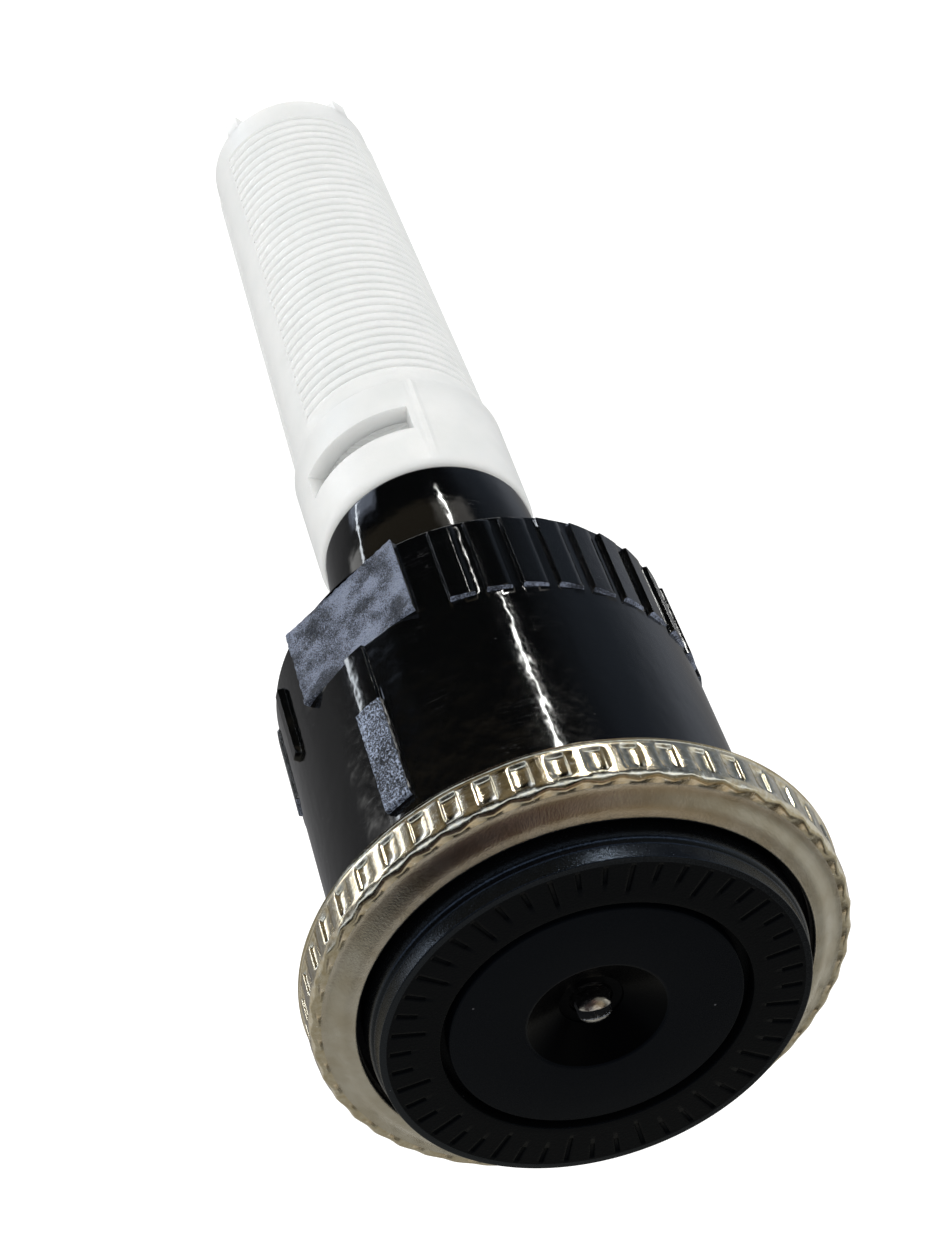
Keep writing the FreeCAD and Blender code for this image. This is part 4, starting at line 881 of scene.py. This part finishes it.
def make_cap(disc_finish, cone_shade_finish):
    """Rotor cap with the conical recess round the shaft; the recess takes a darker black as painted shade.
    """
    azimuth = round_samples(3.0)
    disc = rounded([
        (1.2, 25.0, 0), (6.95, 25.0, 0), (6.95, CAP_SEAT + 0.01, 0), (CAP_RADIUS, CAP_SEAT + 0.01, 0),
        (CAP_RADIUS, CAP_LEVEL, 0.14), (6.0, CAP_LEVEL, 0), (CONE_RADIUS, CAP_LEVEL, 0.12),
    ])
    cone = rounded([
        (2.8, 26.94, 0), (1.86, 26.35, 0), (1.75, 26.3, 0.04), (1.72, 26.15, 0.04), (1.2, 26.15, 0),
        (1.2, 25.9, 0), (1.9, 25.9, 0), (1.9, 25.2, 0), (1.2, 25.2, 0),
    ])
    columns = disc + cone
    paint = np.zeros((azimuth.size, len(columns)))
    # the recess takes the darker black: painted shade in the cone
    paint[:, len(disc) - 1:] = 1
    return loft("cap_disc", azimuth, columns, [disc_finish, cone_shade_finish], "rotor",
                ("rotor_cap",), paint)


def make_pin(finish, slot_shade_finish):
    """Shaft with a domed, slotted head and the throttle screw at its end; the slot is painted near black as
    painted shade.
    """
    azimuth = round_samples(2.0)
    columns = [(0.0, PIN_END), (PIN_RADIUS - 0.25, PIN_END)]
    for level in np.arange(PIN_END + 0.1, PIN_SCREW_TOP - 0.1, 0.1):
        phase = np.mod((level - PIN_SCREW_PITCH * azimuth / FULL_TURN) / PIN_SCREW_PITCH, 1.0)
        groove = np.interp(phase, (0.0, 0.3, 0.7, 1.0), (0.0, 1.0, 1.0, 0.0))
        columns.append((PIN_RADIUS - PIN_SCREW_DEPTH * groove, level))
    clip_floor, clip_top = PIN_CLIP_LEVELS
    columns += [
        (PIN_RADIUS, PIN_SCREW_TOP), (PIN_RADIUS, clip_floor), (PIN_CLIP_RADIUS, clip_floor),
        (PIN_CLIP_RADIUS, clip_top), (PIN_RADIUS, clip_top), (PIN_RADIUS, PIN_HEAD_LEVEL),
        (PIN_HEAD_RADIUS, PIN_HEAD_LEVEL + 0.15), (PIN_HEAD_RADIUS, PIN_TOP - 1.1),
    ]
    paint = np.zeros((azimuth.size, len(columns) + DOME_STEPS + 1))
    floor_half, mouth_half = SLOT_HALF_WIDTHS
    for radius in np.append(PIN_HEAD_RADIUS * np.sin(np.radians(np.linspace(90, 3, DOME_STEPS))), 0.0):
        drop = 1 - math.sqrt(max(0.0, 1 - (radius / (PIN_HEAD_RADIUS * 1.005)) ** 2))
        beside = np.abs(radius * np.sin(np.radians(azimuth - SLOT_AZIMUTH)))
        # cells in the slot take the near-black finish: painted shade in the slot
        paint[:, len(columns)] = beside < mouth_half - 0.01
        slot = SLOT_DEPTH * (1 - smooth_step(beside, floor_half, mouth_half))
        columns.append((radius, PIN_TOP - DOME_HEIGHT * drop - slot))
    piece = loft("driver_pin", azimuth, columns, [finish, slot_shade_finish], "shaft",
                 ("adjust_shaft",), paint)
    merge_poles(piece)
    return piece


def make_spring(finish):
    """Open-coiled compression spring."""
    turns = np.linspace(0, SPRING_TURNS, SPRING_TURNS * 48 + 1)
    angle = turns * 2 * math.pi
    height = SPRING_LOW + (SPRING_HIGH - SPRING_LOW) * turns / SPRING_TURNS
    around = np.radians(np.arange(0, 360, 30))
    radius = SPRING_RADIUS + SPRING_WIRE * np.cos(around)[None, :]
    points = np.stack([radius * np.cos(angle)[:, None], radius * np.sin(angle)[:, None],
                       height[:, None] + SPRING_WIRE * np.sin(around)[None, :]], axis=2)
    sides = around.size
    faces = []
    for ring in range(turns.size - 1):
        for side in range(sides):
            following = (side + 1) % sides
            faces.append((ring * sides + side, (ring + 1) * sides + side,
                          (ring + 1) * sides + following, ring * sides + following))
    last = (turns.size - 1) * sides
    faces.append(tuple(range(sides)))
    faces.append(tuple(last + side for side in reversed(range(sides))))
    piece = make_piece("return_coil", points.reshape(-1, 3), faces, [finish], "base",
                       ("return_spring",))
    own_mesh(piece)
    return piece


def basket_profile():
    """Levels of the basket wall with (outside radius, is a slit starting here)."""
    low = BASKET_END + 2.4
    levels = [(BASKET_END + 0.9, 0.0, False), (BASKET_END + 1.6, 0.0, False)]
    bar = SLIT_PITCH - SLIT_HEIGHT
    for slit in range(SLIT_COUNT):
        start = low + slit * SLIT_PITCH
        levels += [(start, 0.0, True), (start + SLIT_HEIGHT, 0.0, False)]
        levels += [(start + SLIT_HEIGHT + share * bar, 0.09 * math.sin(share * math.pi), False)
                   for share in (0.14, 0.32, 0.5, 0.68, 0.86)]
    levels.append((low + SLIT_COUNT * SLIT_PITCH, 0.0, False))
    levels.append((COLLAR_END - 0.35, 0.0, False))
    return levels


def filter_azimuths():
    """Azimuths that catch the screen's panels, the windows and the moulding ridge."""
    extra = []
    for start in PANEL_STARTS:
        extra += [start, start + PANEL_ANGLE, start + 1.2, start + PANEL_ANGLE - 1.2]
    for start in WINDOW_STARTS:
        extra += [start, start + WINDOW_ANGLE]
    extra += [RIDGE_AZIMUTH + place for place in (-2.6, -1.9, -1.2, 0.0, 1.2, 1.9, 2.6)]
    return round_samples(3.0, extra)


def cells_within(azimuth, starts, angle):
    """Which cells lie inside one of the sectors that begin at starts."""
    middle = azimuth + np.diff(azimuth, append=azimuth[0] + FULL_TURN) / 2
    within = np.zeros(azimuth.size, bool)
    for start in starts:
        within |= np.abs(turn_from(middle, start + angle / 2)) < angle / 2
    return within


def screen_wall(azimuth):
    """Outer and inner columns from the basket's end up, and which begin a slit or a window."""
    half = PANEL_ANGLE / 2
    in_panel = sum(soft_box(turn_from(azimuth, start + half), -half, half, FILTER_EDGE)
                   for start in PANEL_STARTS)
    ridge = soft_box(turn_from(azimuth, RIDGE_AZIMUTH), -RIDGE_HALF_ANGLE, RIDGE_HALF_ANGLE, FILTER_EDGE)
    outer, inner, slits = [], [], []
    for level, proud, is_slit in basket_profile():
        share = (level - BASKET_END) / (COLLAR_END - BASKET_END)
        plain = BASKET_END_RADIUS + (BASKET_TOP_RADIUS - BASKET_END_RADIUS) * share
        if is_slit:
            slits.append(len(outer))
        outer.append((plain + proud * in_panel, level))
        inner.append((plain - BASKET_WALL, level))
    bore = BASKET_TOP_RADIUS - BASKET_WALL
    raised = COLLAR_RADIUS + RIDGE_HEIGHT * ridge
    sill, lintel = WINDOW_LEVELS
    for outside, inside, level in (
            (BASKET_TOP_RADIUS, bore, COLLAR_END),
            (COLLAR_RADIUS - 0.12 + 0.05 * ridge, bore, COLLAR_END + 0.2),
            (raised, bore, COLLAR_END + 0.4), (raised, bore, sill), (raised, bore, lintel),
            (raised, bore, -14.4), (raised, bore - 0.05, -13.8)):
        outer.append((outside, level))
        inner.append((inside, level))
    window = len(outer) - 4
    return outer, inner, slits, window


def hole_walls(opening, partner):
    """Quads that line each opening, with the column each belongs to.

    partner gives the inner column that faces an outer one.
    """
    rows, count = opening.shape

    def corner(row, column):
        return row * count + column

    walls, wall_columns = [], []
    for row, column in zip(*np.nonzero(opening)):
        inside = partner(column)
        after = (row + 1) % rows
        lining = [
            (corner(row, column), corner(after, column), corner(after, inside), corner(row, inside)),
            (corner(after, column + 1), corner(row, column + 1),
             corner(row, inside - 1), corner(after, inside - 1)),
        ]
        if not opening[row - 1, column]:
            lining.append((corner(row, column + 1), corner(row, column),
                           corner(row, inside), corner(row, inside - 1)))
        if not opening[after, column]:
            lining.append((corner(after, column), corner(after, column + 1),
                           corner(after, inside - 1), corner(after, inside)))
        walls += lining
        wall_columns += [column] * len(lining)
    return walls, wall_columns


def make_filter(finish, inside_glow_finish):
    """Plug, windowed collar and tapered screen in one moulding; its inside and slit walls glow with painted
    light.
    """
    azimuth = filter_azimuths()
    outer, inner, slits, window = screen_wall(azimuth)
    bottom = rounded([
        (0.0, BASKET_END + 0.9, 0), (0.0, BASKET_END, 0), (BASKET_END_RADIUS - 0.02, BASKET_END, 0.3),
        (BASKET_END_RADIUS, BASKET_END + 0.6, 0),
    ])
    top = rounded([
        (COLLAR_RADIUS, -12.6, 0), (COLLAR_RADIUS - 0.05, COLLAR_TOP - 0.1, 0.5),
        (COLLAR_RADIUS - 0.7, COLLAR_TOP, 0.1), (TUBE_BORE - 0.05, COLLAR_TOP, 0),
        (TUBE_BORE - 0.05, PLUG_TOP, 0.2), (PLUG_BORE, PLUG_TOP, 0.1), (PLUG_BORE, -12.9, 0),
    ], 5)
    columns = bottom + outer + top + inner[::-1]
    rows, count = azimuth.size, len(columns)
    first_outer = len(bottom)
    slit_columns = [first_outer + slit for slit in slits]

    def partner(column):
        return count - 1 - (column - first_outer)

    opening = np.zeros((rows, count), bool)
    for column in slit_columns:
        opening[cells_within(azimuth, PANEL_STARTS, PANEL_ANGLE), column] = True
    opening[cells_within(azimuth, WINDOW_STARTS, WINDOW_ANGLE), first_outer + window] = True
    keep = ~opening
    for row, column in zip(*np.nonzero(opening)):
        keep[row, partner(column) - 1] = False
    walls, wall_columns = hole_walls(opening, partner)
    points = grid_points(azimuth, columns).reshape(-1, 3)
    faces = [tuple(face) for face in grid_faces(rows, count, keep)] + walls
    piece = make_piece("filter_shell", points, faces, [finish, inside_glow_finish], "filter",
                       ("filter_basket",), 40)
    paint = np.zeros((rows, count), int)
    # the basket's inside and the slit walls take the glowing finish: painted light for what the thin wall
    # lets through
    paint[:, first_outer + len(outer) + len(top) + INNER_COLLAR_COLUMNS:] = 1
    painted = paint[keep].tolist() + [int(column in slit_columns) for column in wall_columns]
    piece.data.polygons.foreach_set("material_index", np.array(painted, np.int32))
    merge_poles(piece)
    return piece


def make_feet(finish):
    """Small bevelled feet under the basket's closed end."""
    outside = BASKET_END_RADIUS - 0.02
    corners = [(FOOT_INNER_RADIUS, -FOOT_HALF_WIDTH), (outside, -FOOT_HALF_WIDTH),
               (outside, FOOT_HALF_WIDTH), (FOOT_INNER_RADIUS, FOOT_HALF_WIDTH)]
    sides = len(corners)
    for index in range(FOOT_COUNT):
        angle = math.radians(FOOT_AZIMUTH + FULL_TURN / FOOT_COUNT * index)
        points, faces = [], []
        for level, shrink in ((BASKET_END + 0.3, 0.0), (FOOT_LEVEL + 0.15, 0.02), (FOOT_LEVEL, 0.15)):
            for radius, side in corners:
                radius += shrink if radius == FOOT_INNER_RADIUS else -shrink
                side *= 1 - shrink / FOOT_HALF_WIDTH
                points.append((radius * math.cos(angle) - side * math.sin(angle),
                               radius * math.sin(angle) + side * math.cos(angle), level))
        for layer in (0, sides):
            for corner in range(sides):
                following = (corner + 1) % sides
                faces.append((layer + corner, layer + sides + corner,
                              layer + sides + following, layer + following))
        faces += [(0, 1, 2, 3), (11, 10, 9, 8)]
        make_piece(f"basket_foot_{index + 1}", points, faces, [finish], "filter", (), 25)


def finish_inner_nodes(finishes):
    """Materials of the CAD pieces that are shown as they are."""
    groups = {
        "inner": ("arc_collar", "arc_nozzle", "arc_cam", "damper_stator"),
        "acetal": ("stem", "stem_guide", "spring_seat", "throttle_plug"),
        "rubber": ("cap_seal", "collar_seal", "damper_seal", "nozzle_seal", "riser_gasket",
                   "shaft_seal", "stem_seal"),
        "wire": ("collar_retainer", "shaft_clip", "stem_clip"),
        "bronze": ("lower_bushing",),
        "washer": ("thrust_washer",),
    }
    for finish, names in groups.items():
        for name in names:
            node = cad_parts[name]
            node.data.materials.clear()
            node.data.materials.append(finishes[finish])


# ---- studio

class Sky:
    """Painted studio: a sum of soft panels, each at an azimuth and height."""

    def __init__(self, tree):
        self.tree = tree
        place = tree.nodes.new("ShaderNodeTexCoord")
        split = tree.nodes.new("ShaderNodeSeparateXYZ")
        tree.links.new(place.outputs["Generated"], split.inputs["Vector"])
        x, y, z = split.outputs
        around = self.maths("ARCTAN2", y, x)
        self.azimuth = self.maths("MULTIPLY", around, 180 / math.pi)
        self.height = self.maths("MULTIPLY", self.maths("ARCSINE", z), 180 / math.pi)
        self.total = None

    def maths(self, operation, first, second=0.0):
        return maths_node(self.tree, operation, first, second)

    def soft(self, distance, half, fade):
        """1 within half of the middle, falling to 0 over fade."""
        return span_node(self.tree, distance, half, half + fade, 1.0, 0.0, "SMOOTHSTEP")

    def add(self, colour, azimuth, half, fade, height, tall, soften):
        """One more panel, as in SKY_PANELS."""
        wrapped = self.maths("WRAP", self.maths("SUBTRACT", self.azimuth, azimuth), 180.0)
        self.tree.nodes[-1].inputs[2].default_value = -180.0
        beside = self.soft(self.maths("ABSOLUTE", wrapped), half, fade)
        apart = self.maths("SUBTRACT", self.height, height)
        above = self.soft(self.maths("ABSOLUTE", apart), tall, soften)
        share = self.maths("MULTIPLY", beside, above)
        scaled = self.tree.nodes.new("ShaderNodeVectorMath")
        scaled.operation = "SCALE"
        scaled.inputs[0].default_value = colour
        self.tree.links.new(share, scaled.inputs["Scale"])
        if self.total is None:
            self.total = scaled.outputs["Vector"]
            return
        both = self.tree.nodes.new("ShaderNodeVectorMath")
        both.operation = "ADD"
        self.tree.links.new(self.total, both.inputs[0])
        self.tree.links.new(scaled.outputs["Vector"], both.inputs[1])
        self.total = both.outputs["Vector"]


def paint_studio():
    """Glossy rays see the studio round the table; camera and all other rays see an even pale light."""
    world = bpy.data.worlds.new("studio")
    bpy.context.scene.world = world
    world.use_nodes = True
    tree = world.node_tree
    tree.nodes.clear()
    sky = Sky(tree)
    for panel in SKY_PANELS:
        sky.add(*panel)
    room = tree.nodes.new("ShaderNodeBackground")
    tree.links.new(sky.total, room.inputs["Color"])
    soft_light = tree.nodes.new("ShaderNodeBackground")
    soft_light.inputs["Color"].default_value = (1.0, 0.995, 0.985, 1.0)
    soft_light.inputs["Strength"].default_value = 0.85
    path = tree.nodes.new("ShaderNodeLightPath")
    glossy_mix = tree.nodes.new("ShaderNodeMixShader")
    tree.links.new(path.outputs["Is Glossy Ray"], glossy_mix.inputs["Fac"])
    tree.links.new(soft_light.outputs["Background"], glossy_mix.inputs[1])
    tree.links.new(room.outputs["Background"], glossy_mix.inputs[2])
    output = tree.nodes.new("ShaderNodeOutputWorld")
    tree.links.new(glossy_mix.outputs["Shader"], output.inputs["Surface"])


def add_floor():
    """White paper floor, low enough for the filter to be pulled out above it."""
    half = 3.0
    level = (FOOT_LEVEL - FILTER_TRAVEL - 0.2) * MM
    corners = [(-half, -half, level), (half, -half, level), (half, half, level), (-half, half, level)]
    mesh = bpy.data.meshes.new("studio_floor")
    mesh.from_pydata(corners, [], [(0, 1, 2, 3)])
    floor = bpy.data.objects.new("studio_floor", mesh)
    bpy.context.scene.collection.objects.link(floor)
    floor.visible_glossy = False
    finish = Finish("floor_paper", (0.9, 0.9, 0.9), 0.9, specular=0.0)
    fibre = finish.noise(4.0, 3.0, 0.6)
    finish.set("Base Color", finish.mixed(fibre, (0.895, 0.895, 0.89), (0.905, 0.905, 0.905)))
    finish.set("Emission Color", (1.0, 1.0, 1.0, 1.0))
    finish.set("Emission Strength", 0.42)
    mesh.materials.append(finish.material)


def add_area_light(name, azimuth, height, distance, size, power, colour):
    """Soft box that looks at the nozzle's middle and isn't seen in reflections."""
    target = Vector((0, 0, -5)) * MM
    azimuth, height = math.radians(azimuth), math.radians(height)
    level = math.cos(height)
    direction = Vector((math.cos(azimuth) * level, math.sin(azimuth) * level, math.sin(height)))
    light = bpy.data.lights.new(name, "AREA")
    light.shape = "DISK"
    light.size = size
    light.energy = power
    light.color = colour
    lamp = bpy.data.objects.new(name, light)
    lamp.location = target + direction * distance
    lamp.rotation_euler = (-direction).to_track_quat("-Z", "Y").to_euler()
    lamp.visible_glossy = False
    bpy.context.scene.collection.objects.link(lamp)


def add_camera():
    """The camera that the CAMERA values describe."""
    place = Vector(CAMERA_PLACE) * MM
    target = Vector(CAMERA_TARGET) * MM
    roll = math.radians(CAMERA_ROLL)
    camera = bpy.data.cameras.new("camera")
    camera.lens = CAMERA_LENS
    camera.sensor_width = CAMERA_SENSOR
    camera.clip_start = 0.01
    camera.clip_end = 20.0
    holder = bpy.data.objects.new("camera", camera)
    aim = (target - place).to_track_quat("-Z", "Y").to_matrix()
    holder.matrix_world = Matrix.Translation(place) @ (aim @ Matrix.Rotation(roll, 3, "Z")).to_4x4()
    bpy.context.scene.collection.objects.link(holder)
    bpy.context.scene.camera = holder


# ---- build

gloss = gloss_black()
# eroded pad; also laid on the rib ends, where its light specks are painted glints
pad = eroded_black("eroded_pad_and_rib_glints", (0.014, 0.018, 0.027), (0.25, 0.29, 0.39), 0.09, 0.42, 0.62, 0.11)
marker_pad = eroded_black("eroded_rib", (0.004, 0.006, 0.010), (0.38, 0.45, 0.60), 0.12, 0.48, 0.62, 0.04)
rotor_black = satin_black("satin_black", BLACK_ROTOR, 0.36, 0.14, 0.02)
rotor_side = satin_black("rotor_side", BLACK_ROTOR, 0.22, 0.14, 0.012, 0.45)
cap_black = satin_black("fine_black", BLACK_CAP, 0.30, 0.08, 0.012)
# darker black for the cap's recess: painted shade
cone_shaded_black = satin_black("cone_shaded_black", BLACK_CONE_SHADED, 0.2, 0.2, 0.006, 0.05)
pin_steel = bright_steel("pin_steel", 0.16)
# near-black finish for the pin head's slot: painted shade, not the steel's own colour
slot_painted_shade = plain_moulding("slot_painted_shade", (0.010, 0.011, 0.013), 0.5)
white = white_moulding("white_moulding", 0.0)
# faint glow for the basket's inside and slit walls: painted light
white_inside_glow = white_moulding("white_inside_glow", 0.07)

make_skirt([gloss, pad, marker_pad])
make_neck(gloss)
make_ring(pressed_steel(), satin_steel())
make_rotor(rotor_black, rotor_side)
make_cap(cap_black, cone_shaded_black)
make_pin(pin_steel, slot_painted_shade)
make_spring(bright_steel("spring_steel", 0.25))
make_filter(white, white_inside_glow)
make_feet(white)
finish_inner_nodes({
    "inner": plain_moulding("inner_black", (0.012, 0.0125, 0.014), 0.4),
    "acetal": plain_moulding("grey_acetal", (0.30, 0.31, 0.32), 0.45, 0.08),
    "rubber": plain_moulding("seal_rubber", (0.010, 0.010, 0.010), 0.6),
    "wire": bright_steel("clip_steel", 0.22),
    "bronze": sintered_bronze(),
    "washer": plain_moulding("washer_white", (0.80, 0.80, 0.78), 0.4, 0.04),
})

paint_studio()
add_floor()
add_area_light("key_light", azimuth=-75, height=55, distance=0.5, size=0.4, power=0.6,
               colour=(1.0, 0.99, 0.97))
add_camera()
scene = bpy.context.scene
scene.view_settings.view_transform = "Standard"
scene.cycles.use_denoising = True
